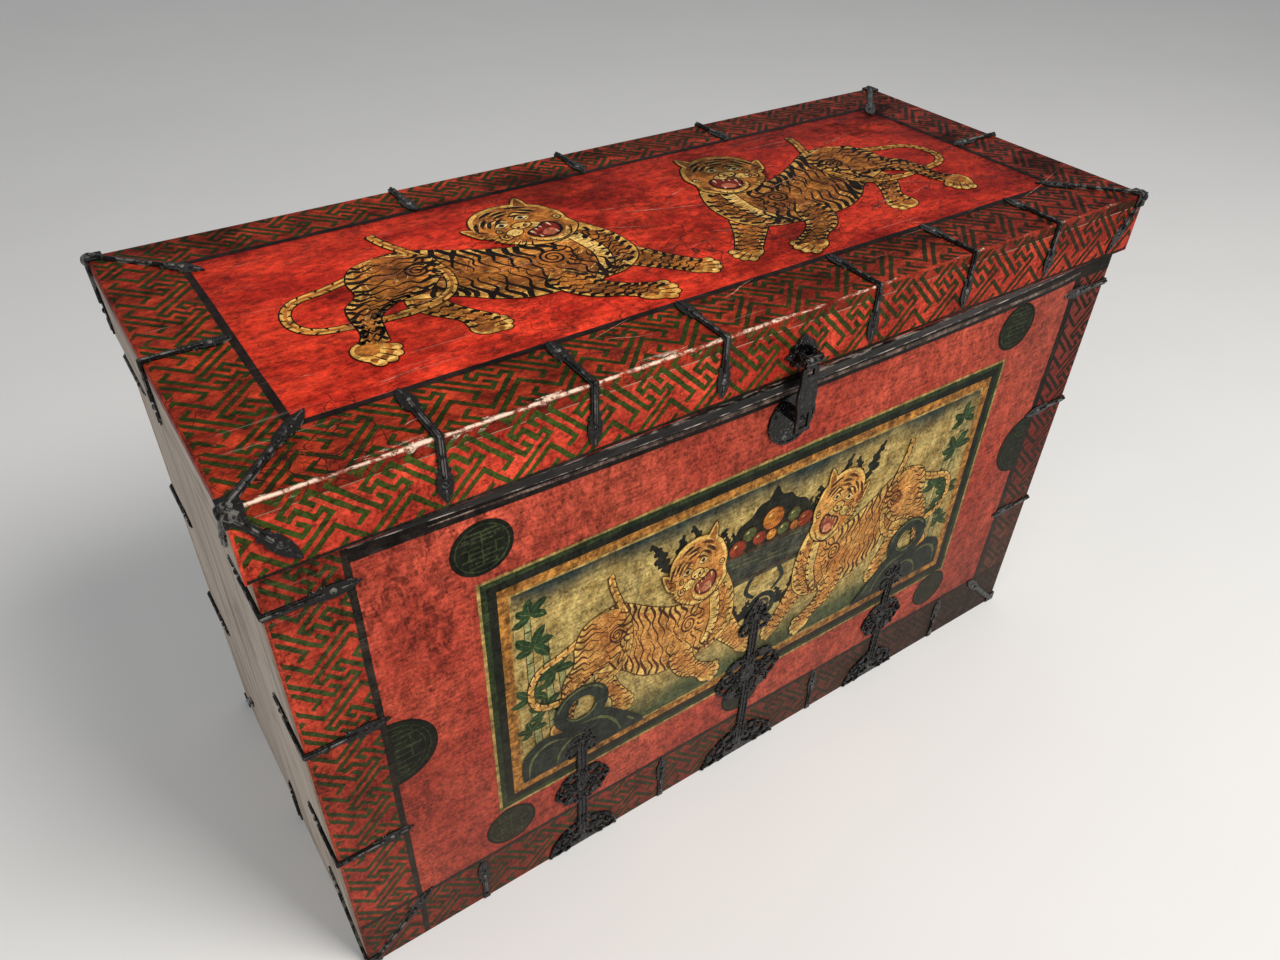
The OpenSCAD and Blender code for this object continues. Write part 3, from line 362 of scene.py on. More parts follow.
def front_ground():
    f = Finish("box_front_red")
    tone = f.ramp(f.noise(8.0, 6.0, (1.0, 1.0, 0.7), 0.65), 0.34, 0.68)
    middle = f.mix(tone, seen(158, 58, 43), seen(202, 86, 63))
    border = f.most(
        f.across(f.x, FRONT_LINE_LEFT + 2, FRONT_LINE_LEFT),
        f.across(f.x, FRONT_LINE_RIGHT - 2, FRONT_LINE_RIGHT),
        f.across(f.z, FRONT_LINE_LOW + 2, FRONT_LINE_LOW),
    )
    left_edge = f.mix(tone, seen(146, 46, 32), seen(186, 66, 44))
    right_edge = f.mix(f.across(f.z, 120, 420), seen(100, 56, 42), seen(138, 40, 27))
    edge = f.mix(f.across(f.x, -350, 450), left_edge, right_edge)
    aged, roughness, height = aged_front(f, f.mix(border, middle, edge))
    sheen = f.across(f.x, 240, 500) * f.across(f.z, 300, 580)
    aged = f.mix(sheen * 0.06, aged, seen(214, 140, 122))
    behind = f.across(f.y, PANEL_LOW.y + 2, PANEL_LOW.y + 4)
    return f.done(f.mix(behind, aged, raw_wood(f)), roughness, height, GROUND_DEPTH, PAINT_SHINE)


# %% [markdown]
# ## Bare boards
# The sides and the back were never painted. Old softwood left bare turns a grey beige with
# faint grain along the board. Grain is a noise pulled out along the board's length, and a seam
# is a dark line where a wide board was joined from narrow ones.

# %% Bare wood, dark painted wood and the inside
def board_finish(name, pale, dark, along, seams=()):
    """Bare wood with its grain along one axis, and seams at the given heights in metres."""
    f = Finish(name)
    stretch = {"x": (3.0, 60.0, 60.0), "y": (60.0, 3.0, 60.0), "z": (60.0, 60.0, 3.0)}[along]
    grain = f.noise(1.4, 6.0, stretch, 0.6, 0.4)
    broad = f.noise(4.0, 4.0)
    tone = f.darker(f.mix(f.ramp(grain, 0.35, 0.7), pale, dark), 0.76 + broad * 0.4)
    tone = f.mix(f.ramp(f.noise(12.0, 6.0, None, 0.7), 0.52, 0.68) * 0.4, tone, seen(96, 80, 70))
    tone = f.mix(f.ramp(f.noise(30.0, 3.0), 0.68, 0.72) * 0.3, tone, seen(70, 58, 50))
    height = grain * 0.6 + f.noise(400.0, 2.0) * 0.2
    for place in seams:
        seam = f.ramp(abs(f.z - (place + (broad - 0.5) * 0.004)), 0.0016, 0.0006)
        tone = f.darker(tone, 1.06 - f.ramp(f.z, place, place + 0.001) * 0.1)
        tone = f.mix(seam * 0.85, tone, seen(44, 34, 28))
        height = height - seam * 2.0
    return f.done(tone, grain * 0.12 + 0.72, height, GROUND_DEPTH)


BARE_SIDE = board_finish("bare_side_board", seen(186, 172, 158), seen(146, 132, 118), "z")
BARE_BACK = board_finish("bare_back_board", seen(176, 160, 140), seen(138, 120, 100), "x", (0.206, 0.424))
BARE_LID_END = board_finish("bare_lid_end", seen(184, 170, 156), seen(144, 130, 116), "y")
INSIDE = board_finish("bare_inside_board", seen(156, 122, 86), seen(118, 88, 58), "x")


def rim_finish():
    """Black paint on the rim strip, pale along its arrises: partly paint scuffed away, partly a painted
    highlight.
    """
    f = Finish("rim_dark_paint")
    tone = f.mix(f.ramp(f.noise(20.0, 5.0), 0.4, 0.66), seen(12, 11, 10), seen(34, 30, 28))
    tone = f.mix(f.across(f.x, 100, 420) * 0.16, tone, seen(96, 68, 54))
    low_arris = f.across(f.z, RIM_LOW.z + 1.8, RIM_LOW.z + 0.6)
    high_arris = f.across(f.z, RIM_HIGH.z - 1.2, RIM_HIGH.z - 0.3)
    scuff = f.ramp(f.noise(1.0, 5.0, (38.0, 150.0, 150.0), 0.65), 0.46, 0.62)
    streaks = f.ramp(f.noise(1.0, 3.0, (16.0, 420.0, 420.0)), 0.6, 0.68)
    # Pale along the arrises, partly scuffed paint and partly a painted highlight, with faint pale streaks
    scuff_and_highlight = (low_arris * 0.9 + high_arris * 0.5) * scuff + streaks * 0.064
    return f.done(f.mix(scuff_and_highlight, tone, seen(196, 180, 168)), 0.3 + scuff * 0.2, scuff * 0.5, 0.0004, 0.18)


# %% [markdown]
# ## Iron
# The straps are hammered and blackened. Pale specks on them are partly scuffed metal and partly
# painted glints, and the ribs and the plates' edges carry a painted highlight. A flat plate's faces
# look along an axis, so the parts whose normal leans away from every axis are the ribs and edges.
# The pierced mounts are blacker, as if varnished.
# The black is a skin of scale and oil, so it isn't given a metal's reflection, and the dents of
# the hammer come from a bump.

# %% Forged iron and the varnished mounts
IRON_SHINE = 0.16


def iron_finish(name, base, scuff_and_highlight, speck_scuff_and_glint, rib_highlight, gloss, dent, depth):
    """Iron with pale specks, partly scuffed metal and partly painted glints, by speck_scuff_and_glint, a
    painted highlight on its ribs, by rib_highlight, and dents as close as dent.
    """
    f = Finish(name)
    soot = f.noise(55.0, 5.0, None, 0.65)
    facing = f.parts(f.node("ShaderNodeTexCoord", output="Normal"))
    rib = f.ramp(f.most(*(abs(part) for part in facing)), 0.985, 0.92)
    rib = rib * f.ramp(f.noise(90.0, 4.0, None, 0.6), 0.46, 0.6)
    # Pale specks, partly scuffed metal and partly painted glints, and a painted highlight on the ribs and
    # edges
    specks_and_highlight = f.most(f.ramp(f.noise(260.0, 4.0, None, 0.66), 0.57, 0.64) * speck_scuff_and_glint, rib * rib_highlight)
    tone = f.mix(specks_and_highlight, f.darker(base, 0.55 + soot * 0.9), scuff_and_highlight)
    tone = f.mix(f.ramp(f.noise(24.0, 5.0), 0.6, 0.74) * 0.3, tone, seen(66, 42, 32))
    height = f.noise(dent, 3.0, None, 0.5) - f.ramp(f.noise(520.0, 2.0), 0.6, 0.7) * 0.25
    return f.done(tone, gloss + soot * 0.18 + specks_and_highlight * 0.08, height, depth, IRON_SHINE)


IRON = iron_finish("forged_iron", seen(20, 19, 18), seen(140, 136, 130), 0.13, 0.52, 0.1, 110.0, 0.0011)
VARNISHED = iron_finish("varnished_iron", seen(9, 9, 9), seen(150, 146, 142), 0.3, 0.06, 0.06, 230.0, 0.0009)
PLAIN_IRON = iron_finish("hinge_iron", seen(64, 60, 56), seen(128, 122, 116), 0.4, 0.4, 0.34, 130.0, 0.001)

# %% Give every CAD node its finish
node_finish = {
    "front_panel": front_ground(),
    "lid_top": top_ground(),
    "lid_front_apron": apron_ground(),
    "front_rim": rim_finish(),
    "left_side": BARE_SIDE,
    "right_side": BARE_SIDE,
    "back_board": BARE_BACK,
    "lid_back_apron": BARE_BACK,
    "lid_left_apron": BARE_LID_END,
    "lid_right_apron": BARE_LID_END,
    "bottom_board": INSIDE,
    "lid_battens": INSIDE,
}
node_finish["front_edge_board"] = node_finish["front_panel"]
for name, piece in NODES.items():
    if name in node_finish:
        finish = node_finish[name]
    elif "pierced" in name or name in ("lock_plate", "hasp_eye_plate"):
        finish = VARNISHED
    elif "hinge" in name:
        finish = PLAIN_IRON
    else:
        finish = IRON
    piece.data.materials.clear()
    piece.data.materials.append(finish)
print("finishes on", len(NODES), "nodes")


# %% [markdown]
# ## Painting with a mesh
# Each colour is its own thin layer of mesh, a fraction of a millimetre above the board, as
# real paint is. A layer is filled from smooth outlines, or laid on as brush strokes: a grid
# of faces that follows a path and swells and tapers as a brush does.

# %% Faces to paint on and smooth paths
class Board:
    """A flat face of the trunk. Drawing millimetres become places in space on it."""

    def __init__(self, corner, across, up, body):
        self.corner = Vector(corner)
        self.across = Vector(across)
        self.up = Vector(up)
        self.out = self.across.cross(self.up)
        self.body = body

    def point(self, u, v, lift):
        return (self.corner + self.across * u + self.up * v + self.out * lift) / 1000


TOP = Board((0, 0, LID_HIGH.z), (1, 0, 0), (0, 1, 0), "lid")
APRON = Board((0, APRON_LOW.y, 0), (1, 0, 0), (0, 0, 1), "lid")
FRONT = Board((0, PANEL_LOW.y, 0), (1, 0, 0), (0, 0, 1), "box")


def curve(t, a, b, c, d):
    """The value at t, 0 to 1, on a smooth curve from b to c that also heeds a and d."""
    square, cube = 2 * a - 5 * b + 4 * c - d, 3 * b - a - 3 * c + d
    return 0.5 * (2 * b + (c - a) * t + square * t * t + cube * t ** 3)


def smooth(points, closed=False, steps=7):
    """A smooth path through the points."""
    count = len(points)
    path = []
    for i in range(count if closed else count - 1):
        if closed:
            near = [points[(i + k) % count] for k in (-1, 0, 1, 2)]
        else:
            near = [points[min(max(i + k, 0), count - 1)] for k in (-1, 0, 1, 2)]
        path += [tuple(curve(j / steps, *four) for four in zip(*near)) for j in range(steps)]
    if not closed:
        path.append(tuple(points[-1]))
    return path


def between(values, t):
    """The value at t, 0 to 1, along evenly spaced values."""
    where = min(max(t, 0.0), 1.0) * (len(values) - 1)
    i = min(int(where), len(values) - 2)
    part = where - i
    a, b = values[i], values[i + 1]
    if isinstance(a, (int, float)):
        return a + (b - a) * part
    return tuple(p + (q - p) * part for p, q in zip(a, b))


def arc(centre, radius, turns=(0.0, 1.0), steps=64):
    """Points round a centre, from one part of a turn to another."""
    angles = [math.tau * (turns[0] + (turns[1] - turns[0]) * i / steps) for i in range(steps + 1)]
    return [(centre[0] + math.cos(a) * radius, centre[1] + math.sin(a) * radius) for a in angles]


print("top board at", round(TOP.point(0, 0, 0).z, 3), "m")


# %% A piece from a bmesh, and a layer of paint
def make_piece(name, bm, material, body):
    """A bmesh as an object with its finish, riding on a body of the frame."""
    mesh = bpy.data.meshes.new(name)
    bm.to_mesh(mesh)
    bm.free()
    piece = bpy.data.objects.new(name, mesh)
    bpy.context.scene.collection.objects.link(piece)
    mesh.materials.append(material)
    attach(piece, body)
    print(name, len(mesh.polygons), "faces")


def make_paint(name, bm, material, board):
    """A flat bmesh as paint that faces out of its board and moves with it."""
    bm.normal_update()
    bmesh.ops.reverse_faces(bm, faces=[face for face in bm.faces if face.normal.dot(board.out) < 0])
    make_piece(name, bm, material, board.body)


class Layer:
    """Paint of one colour on one board. A drawing can be placed, scaled and turned over."""

    def __init__(self, name, board, lift, material):
        self.name, self.board, self.lift, self.material = name, board, lift, material
        self.place((0.0, 0.0), 1.0, False)
        self.laid = 0
        self.bm = bmesh.new()

    def place(self, at, size, flip, tall=1.0):
        """Moves, scales, turns over and stretches what is drawn from here on."""
        self.at, self.across, self.up = at, -size if flip else size, size * tall

    def to_board(self, u, v):
        """A place of the drawing on the board. Strokes laid in turn lie a few microns apart."""
        height = self.lift + (self.laid % 21) * 0.002
        return self.board.point(self.at[0] + u * self.across, self.at[1] + v * self.up, height)

    def shape(self, outline):
        """A filled shape."""
        self.laid += 1
        corners = [self.bm.verts.new(self.to_board(u, v)) for u, v in outline]
        edges = [self.bm.edges.new((a, b)) for a, b in zip(corners, corners[1:] + corners[:1])]
        bmesh.ops.triangle_fill(self.bm, use_beauty=True, edges=edges)

    def stroke(self, path, widths, steps=None):
        """A brush stroke along a path, as wide at each part of it as the widths say."""
        self.laid += 1
        line = smooth(path, steps=5) if len(path) > 2 else list(path)
        count = steps or max(2, len(line) - 1)
        made = bmesh.ops.create_grid(self.bm, x_segments=count, y_segments=1, size=0.5)["verts"]
        for corner in made:
            t, side = corner.co.x + 0.5, corner.co.y * 2
            u, v = between(line, t)
            ahead, behind = between(line, min(t + 0.02, 1)), between(line, max(t - 0.02, 0))
            du, dv = ahead[0] - behind[0], ahead[1] - behind[1]
            long = math.hypot(du, dv) or 1.0
            half = between(widths, t) / 2 * side
            corner.co = self.to_board(u - dv / long * half, v + du / long * half)

    def ring(self, centre, radius, width, turns=(0.0, 1.0), steps=64):
        """A ring, or part of one, as a stroke round a centre."""
        self.stroke(arc(centre, radius, turns, steps), [width, width], steps)

    def dot(self, centre, radius, steps=14):
        self.shape(arc(centre, radius, steps=steps)[:-1])

    def finish(self):
        make_paint(self.name, self.bm, self.material, self.board)


# How far the first coat, and the lines over it, lie above the board
COAT_LIFT = 0.12
LINE_LIFT = 0.24
print("first coat", COAT_LIFT, "mm above the boards")


# %% [markdown]
# ## The key fret
# The borders hold a diagonal key fret, a common pattern made of short straight keys on a
# square lattice that is turned by 45 degrees. Each key is a chain of unit steps. Small squares
# at the lattice points and short bars between them make a line that never overlaps itself,
# and the board's edges cut the pattern off. A little noise on its corners keeps the brush in it.

# %% Lay the fret over a strip
FRET_UNIT = 9.0
FRET_LINE = 4.9
FRET_REPEAT = 10


def key_steps():
    """Unit steps of one repeat, as pairs of lattice points. A repeat is FRET_REPEAT units square."""
    arm = [(0, 0), (0, 1), (-1, 1), (-1, 2), (5, 2), (5, 0)]
    steps = set()
    for ci, cj in ((0, 0), (5, 5)):
        for turn in range(4):
            points = list(arm)
            for _ in range(turn):
                points = [(-y, x) for x, y in points]
            open_end = turn % 2 == 1
            for (ax, ay), (bx, by) in zip(points, points[1:]):
                dx, dy = (bx > ax) - (bx < ax), (by > ay) - (by < ay)
                x, y = ax, ay
                while (x, y) != (bx, by):
                    nx, ny = x + dx, y + dy
                    near_start = (x, y) == (0, 0)
                    near_end = (nx, ny) == points[-1]
                    if not (open_end and (near_start or near_end)):
                        steps.add(tuple(sorted(((x + ci, y + cj), (nx + ci, ny + cj)))))
                    x, y = nx, ny
    return steps


KEY_STEPS = key_steps()


def fret(name, board, low, high, material, shift):
    """The fret over the rectangle from low to high on a board, its lattice moved by shift."""
    bm = bmesh.new()
    turn = Matrix.Rotation(math.radians(45), 3, "Z")
    reach = max(high[0] - low[0], high[1] - low[1]) / FRET_UNIT + 12
    middle = Vector(((low[0] + high[0]) / 2, (low[1] + high[1]) / 2, 0))
    moved = Vector((shift[0], shift[1], 0))
    bars, corners = set(), set()
    cells = int(reach / FRET_REPEAT) + 2

    def near(point):
        """Whether a lattice point lies on the rectangle or within a unit of it."""
        at = turn @ (Vector((point[0], point[1], 0)) * FRET_UNIT) + moved + middle
        return all(low[k] - FRET_UNIT < at[k] < high[k] + FRET_UNIT for k in (0, 1))

    for i in range(-cells, cells + 1):
        for j in range(-cells, cells + 1):
            for step in KEY_STEPS:
                a, b = ((x + FRET_REPEAT * i, y + FRET_REPEAT * j) for x, y in step)
                if near(a):
                    bars.add((a, b))
                    corners.update((a, b))
    gap = FRET_UNIT - FRET_LINE
    for x, y in corners:
        place = Matrix.Translation(Vector((x, y, 0)) * FRET_UNIT)
        bmesh.ops.create_grid(bm, x_segments=1, y_segments=1, size=FRET_LINE / 2, matrix=place)
    for a, b in bars:
        along_x = b[0] != a[0]
        place = Matrix.Translation(Vector((a[0] + b[0], a[1] + b[1], 0)) / 2 * FRET_UNIT)
        stretch = Matrix.Diagonal((gap if along_x else FRET_LINE, FRET_LINE if along_x else gap, 1, 1))
        bmesh.ops.create_grid(bm, x_segments=1, y_segments=1, size=0.5, matrix=place @ stretch)
    bmesh.ops.remove_doubles(bm, verts=bm.verts, dist=0.05)
    bmesh.ops.rotate(bm, verts=bm.verts, matrix=turn)
    bmesh.ops.translate(bm, verts=bm.verts, vec=moved + middle)
    bmesh.ops.subdivide_edges(bm, edges=bm.edges, cuts=1, use_grid_fill=True)
    for corner in bm.verts:
        push = noise.noise_vector(corner.co * 0.09) * 0.8 + noise.noise_vector(corner.co * 0.4) * 0.4
        corner.co += Vector((push.x, push.y, 0))
    for origin, away in (
        ((low[0], 0, 0), (-1, 0, 0)),
        ((high[0], 0, 0), (1, 0, 0)),
        ((0, low[1], 0), (0, -1, 0)),
        ((0, high[1], 0), (0, 1, 0)),
    ):
        whole = bm.verts[:] + bm.edges[:] + bm.faces[:]
        bmesh.ops.bisect_plane(bm, geom=whole, plane_co=origin, plane_no=away, clear_outer=True)
    for corner in bm.verts:
        corner.co = board.point(corner.co.x, corner.co.y, COAT_LIFT)
    make_paint(name, bm, material, board)


def fret_paint(name, side, left, right, red):
    """Olive green that browns towards the right and is scuffed through to the red in places."""
    f = Finish(name)
    green = f.mix(f.across(f.x, -250, 500), left, right)
    green = f.mix(f.ramp(f.noise(26.0, 4.0), 0.52, 0.7) * 0.5, green, seen(70, 46, 26))
    through = f.ramp(f.noise(130.0, 4.0, None, 0.65), 0.6, 0.68) * f.ramp(f.noise(9.0, 3.0), 0.42, 0.62)
    aged, roughness, height = AGED[side](f, f.mix(through * 0.8, green, red))
    return f.done(aged, roughness, height - through * 0.3, PAINT_DEPTH, PAINT_SHINE)


TOP_GREEN = fret_paint("fret_green_top", "top", seen(46, 56, 18), seen(44, 32, 18), seen(178, 50, 32))
APRON_GREEN = fret_paint("fret_green_apron", "front", seen(58, 70, 24), seen(56, 44, 20), seen(160, 56, 40))
FRONT_GREEN = fret_paint("fret_green_front", "front", seen(56, 64, 30), seen(46, 38, 22), seen(160, 56, 40))

# %% Fret on the top, the apron and the front
FRET_MARGIN = 2.5
RIM_LINE = RIM_HIGH.z - 1
LID_ENDS = (LID_LOW.x + FRET_MARGIN, LID_HIGH.x - FRET_MARGIN)
BOX_ENDS = (EDGE_LOW.x + FRET_MARGIN, PANEL_HIGH.x - FRET_MARGIN)
GREENS = {"top": (TOP, TOP_GREEN), "apron": (APRON, APRON_GREEN), "front": (FRONT, FRONT_GREEN)}
for name, across, up, shift in (
    ("top_fret_front", LID_ENDS, (LID_LOW.y + FRET_MARGIN, TOP_LINE_FRONT), (8, 20)),
    ("top_fret_back", LID_ENDS, (TOP_LINE_BACK, LID_HIGH.y - FRET_MARGIN), (30, 4)),
    ("top_fret_left", (LID_ENDS[0], -TOP_LINE_SIDE), (TOP_LINE_FRONT, TOP_LINE_BACK), (12, 0)),
    ("top_fret_right", (TOP_LINE_SIDE, LID_ENDS[1]), (TOP_LINE_FRONT, TOP_LINE_BACK), (0, 16)),
    ("apron_fret", LID_ENDS, (APRON_LOW.z + 1, LID_HIGH.z - FRET_MARGIN), (14, 10)),
    ("front_fret_left", (BOX_ENDS[0], FRONT_LINE_LEFT), (FRONT_LINE_LOW, RIM_LINE), (6, 0)),
    ("front_fret_right", (FRONT_LINE_RIGHT, BOX_ENDS[1]), (FRONT_LINE_LOW, RIM_LINE), (20, 24)),
    ("front_fret_low", BOX_ENDS, (1.0, FRONT_LINE_LOW), (0, 12)),
):
    board, green = GREENS[name.split("_")[0]]
    fret(name, board, (across[0], up[0]), (across[1], up[1]), green, shift)

# %% [markdown]
# ## Dark lines, roundels and the frame of the picture
# A dark line parts each border from its middle. Black paint also runs in a bowed band under the
# rim, with a painted highlight over scuffed paint along its middle. At both ends of the rim a dark
# line just under the lid is partly dark paint and partly painted shadow of the lid, and a thin dark
# line along the apron's low edge is painted shadow. The four roundels, the low one and the half
# ones at the ends are dark green discs with a rim and a plain barred sign, which is a common
# ornament. Bands of cream, green, black and orange frame the picture.

# %% Draw the lines
BLACK_TOP = paint("line_dark_top", "top", seen(30, 24, 22), seen(48, 34, 30))
BLACK_FRONT = paint("line_dark_front", "front", seen(34, 30, 26), seen(52, 44, 36))
LINE_W = 6.5


def hand_line(layer, start, end, width, seed):
    """A long straight line with the small swerves of a brush along a rule."""
    rng = random.Random(seed)
    count = max(6, int(math.dist(start, end) / 45))
    path = []
    for i in range(count + 1):
        t = i / count
        path.append((start[0] + (end[0] - start[0]) * t + rng.uniform(-0.5, 0.5),
                     start[1] + (end[1] - start[1]) * t + rng.uniform(-0.5, 0.5)))
    layer.stroke(path, [width * rng.uniform(0.86, 1.12) for _ in range(count)])


def hand_lines(name, board, lift, *lines):
    """One piece of black lines, each given by its start, end, width and seed."""
    layer = Layer(name, board, lift, BLACK_FRONT)
    for start, end, width, seed in lines:
        hand_line(layer, start, end, width, seed)
    layer.finish()


def hand_frame(name, board, low, high, width, lift, material, seed):
    """A line round a rectangle as one strip, with mitred corners and the swerves of a brush."""
    bm = bmesh.new()
    rng = random.Random(seed)
    made = []
    for away in (-width / 2, width / 2):
        (left, bottom), (right, top) = (low[0] - away, low[1] - away), (high[0] + away, high[1] + away)
        corners = [(left, bottom), (right, bottom), (right, top), (left, top)]
        ring = []
        for a, b in zip(corners, corners[1:] + corners[:1]):
            count = max(2, int(math.dist(a, b) / 40))
            for k in range(count):
                u = a[0] + (b[0] - a[0]) * k / count + rng.uniform(-0.35, 0.35)
                v = a[1] + (b[1] - a[1]) * k / count + rng.uniform(-0.35, 0.35)
                ring.append(bm.verts.new(board.point(u, v, lift)))
        made += [bm.edges.new((a, b)) for a, b in zip(ring, ring[1:] + ring[:1])]
    bmesh.ops.bridge_loops(bm, edges=made)
    make_paint(name, bm, material, board)


top_low, top_high = (-TOP_LINE_SIDE, TOP_LINE_FRONT), (TOP_LINE_SIDE, TOP_LINE_BACK)
hand_frame("top_dark_lines", TOP, top_low, top_high, LINE_W + 1.2, LINE_LIFT, BLACK_TOP, 3)
hand_lines(
    "front_dark_lines", FRONT, LINE_LIFT,
    ((FRONT_LINE_LEFT, 0.5), (FRONT_LINE_LEFT, RIM_LINE), LINE_W, 11),
    ((FRONT_LINE_RIGHT - 4, 0.5), (FRONT_LINE_RIGHT + 4, RIM_LINE), LINE_W + 5, 12),
)
hand_lines(
    "front_low_line", FRONT, LINE_LIFT + 0.04,
    ((EDGE_LOW.x + 3, FRONT_LINE_LOW), (PANEL_HIGH.x - 3, FRONT_LINE_LOW), LINE_W, 13),
)
# Dark lines just under the lid at both ends of the rim: partly dark paint, partly painted shadow of the lid
hand_lines(
    "front_rim_line_and_lid_shadow", FRONT, LINE_LIFT + 0.06,
    ((EDGE_LOW.x + 2, RIM_HIGH.z - 5), (RIM_LOW.x + 34, RIM_HIGH.z - 5), 8.0, 14),
    ((RIM_HIGH.x - 34, RIM_HIGH.z - 14), (PANEL_HIGH.x - 2, RIM_HIGH.z - 14), 25.0, 16),
)

# %% Draw the black band under the rim with its painted highlight, and the painted shadow along the apron's low edge
RIM_BLACK = paint("rim_band_black", "front", seen(24, 20, 18), seen(44, 34, 30), 60.0, 0.16)
# Paint of the band's pale middle: a painted highlight over scuffed paint
RIM_SCUFF_AND_HIGHLIGHT = paint("rim_band_scuff_and_highlight", "front", seen(70, 56, 48), seen(150, 128, 116), 70.0, 0.16)
# The band's low edge, which hangs lowest near the middle of the front
sag = [
    (-470, 605), (-400, 603.5), (-300, 600.5), (-180, 597.5), (-60, 595),
    (80, 594.5), (220, 595), (340, 596.5), (430, 599), (482, 604),
]
band_top = RIM_HIGH.z - 10
band_layer = Layer("front_rim_band", FRONT, 0.46, RIM_BLACK)
band_layer.stroke([(u, (v + band_top) / 2) for u, v in sag], [band_top - v for u, v in sag])
band_layer.finish()
# A pale line along the band's middle: a painted highlight over scuffed paint
scuff_and_highlight_layer = Layer("front_rim_band_scuff_and_highlight", FRONT, 0.52, RIM_SCUFF_AND_HIGHLIGHT)
scuff_and_highlight_layer.stroke([(u, v + 7.5) for u, v in sag[1:]], [1.0, 3.0, 4.2, 5.0, 4.0, 5.4, 4.4, 5.0, 3.0])
scuff_and_highlight_layer.finish()
# A thin dark line along the apron's low edge: painted shadow between the apron and the rim
apron_shadow_line = APRON_LOW.z + 2.2
hand_lines(
    "apron_low_painted_shadow", APRON, LINE_LIFT + 0.02,
    ((LID_LOW.x + 2, apron_shadow_line), (LID_HIGH.x - 2, apron_shadow_line), 3.4, 17),
)
print("band under the rim", round(band_top - min(v for u, v in sag), 1), "mm high at its middle")

# %% Draw the roundels
DISC = paint("roundel_dark_green", "front", seen(22, 26, 18), seen(34, 38, 26), 60.0, 0.06)
DISC_LINE = paint("roundel_line_green", "front", seen(48, 55, 34), seen(62, 68, 42), 60.0)
DISC_EDGE = paint("roundel_edge", "front", seen(20, 20, 16), seen(30, 30, 22))
# Height and half length of each bar of the sign, in radii
SIGN_BARS = (
    (0.62, 0.5), (0.46, 0.62), (0.3, 0.36), (0.1, 0.66),
    (-0.1, 0.42), (-0.3, 0.64), (-0.48, 0.36), (-0.63, 0.46),
)
discs = Layer("roundel_discs", FRONT, 0.3, DISC)
signs = Layer("roundel_signs", FRONT, 0.42, DISC_LINE)
edges = Layer("roundel_edges", FRONT, 0.38, DISC_EDGE)


def roundel(centre, radius, half=0):
    """A disc with a rim and a barred sign; half is the side that is left where a border cuts it."""
    turns = {0: (0.0, 1.0), 1: (-0.25, 0.25), -1: (0.25, 0.75)}[half]
    outline = arc(centre, radius, turns, 48)
    discs.shape(outline if half else outline[:-1])
    edges.ring(centre, radius - 1.2, 2.4, turns)
    signs.ring(centre, radius * 0.84, 1.5, turns)
    if half:
        signs.ring(centre, radius * 0.72, 1.3, turns)

    def bar(start, end, widths):
        """A bar of the sign. Its ends are given in radii from the centre."""
        signs.stroke([(centre[0] + u * radius, centre[1] + v * radius) for u, v in (start, end)], widths)

    cut = 3 / radius
    sides = (0.42 * half,) if half else (-0.42, 0.42)
    for up, wide in SIGN_BARS:
        left, right = {0: (-wide, wide), 1: (cut, wide), -1: (-wide, -cut)}[half]
        bar((left, up), (right, up), [1.9, 2.3, 1.9])
    for side in sides:
        for low, high in ((-0.3, 0.1), (0.3, 0.46), (-0.63, -0.48)):
            bar((side, low), (side, high), [1.8, 1.8])
    if not half:
        bar((0, 0.62), (0, -0.63), [2.0, 2.0])


for centre in ((-353, 563), (378, 566), (-351, 123), (354, 128)):
    roundel(centre, 32)
roundel((-8, 128), 31)
roundel((FRONT_LINE_LEFT + 3, 344), 48, 1)
roundel((FRONT_LINE_RIGHT - 3, 352), 49, -1)
for layer in (discs, signs, edges):
    layer.finish()

# %% Draw the picture's frame
PICTURE_LOW, PICTURE_HIGH = (-363.0, 156.6), (376.0, 521.0)
CREAM = paint("band_cream", "front", seen(190, 160, 92), seen(128, 104, 60), 120.0)
GREEN_BAND = paint("band_green", "front", seen(38, 50, 30), seen(56, 68, 38), 50.0)
BLACK_BAND = paint("band_black", "front", seen(26, 28, 22), seen(38, 40, 30), 50.0)
ORANGE_BAND = paint("band_orange", "front", seen(192, 130, 58), seen(120, 78, 38), 110.0)
for name, inset, width, material in (
    ("frame_cream_outer", 0.0, 3.6, CREAM),
    ("frame_green", 3.6, 6.4, GREEN_BAND),
    ("frame_black", 10.0, 10.0, BLACK_BAND),
    ("frame_orange", 20.0, 11.5, ORANGE_BAND),
    ("frame_cream_inner", 31.5, 2.2, CREAM),
):
    mid = inset + width / 2
    low, high = (PICTURE_LOW[0] + mid, PICTURE_LOW[1] + mid), (PICTURE_HIGH[0] - mid, PICTURE_HIGH[1] - mid)
    hand_frame(name, FRONT, low, high, width + 0.8, 0.2 + inset * 0.002, material, int(inset * 9))

# %% [markdown]
# ## Relief on the mounts and knobs on the lid's corners
# Hammered wire scrolls stand up from the pierced mounts. A scroll is a small circle spun part
# of the way round, with a bead at both ends. A lumpy forged knob joins the three arms of each
# corner iron. Noise on the points takes the machine-made look away.

# %% Add the wire scrolls and the knobs
MOUNT_FACE = PANEL_LOW.y - 2.2
KNOB_RADIUS = 8.6
KNOB_INSET = 3.5


def finish_metal(bm, lumps):
    """Hammers the points a little, turns the faces outwards and goes from millimetres to metres."""
    for corner in bm.verts:
        corner.co += noise.noise_vector(corner.co * 0.25) * lumps
        corner.co /= 1000
    bmesh.ops.recalc_face_normals(bm, faces=bm.faces)
    for face in bm.faces:
        face.smooth = True


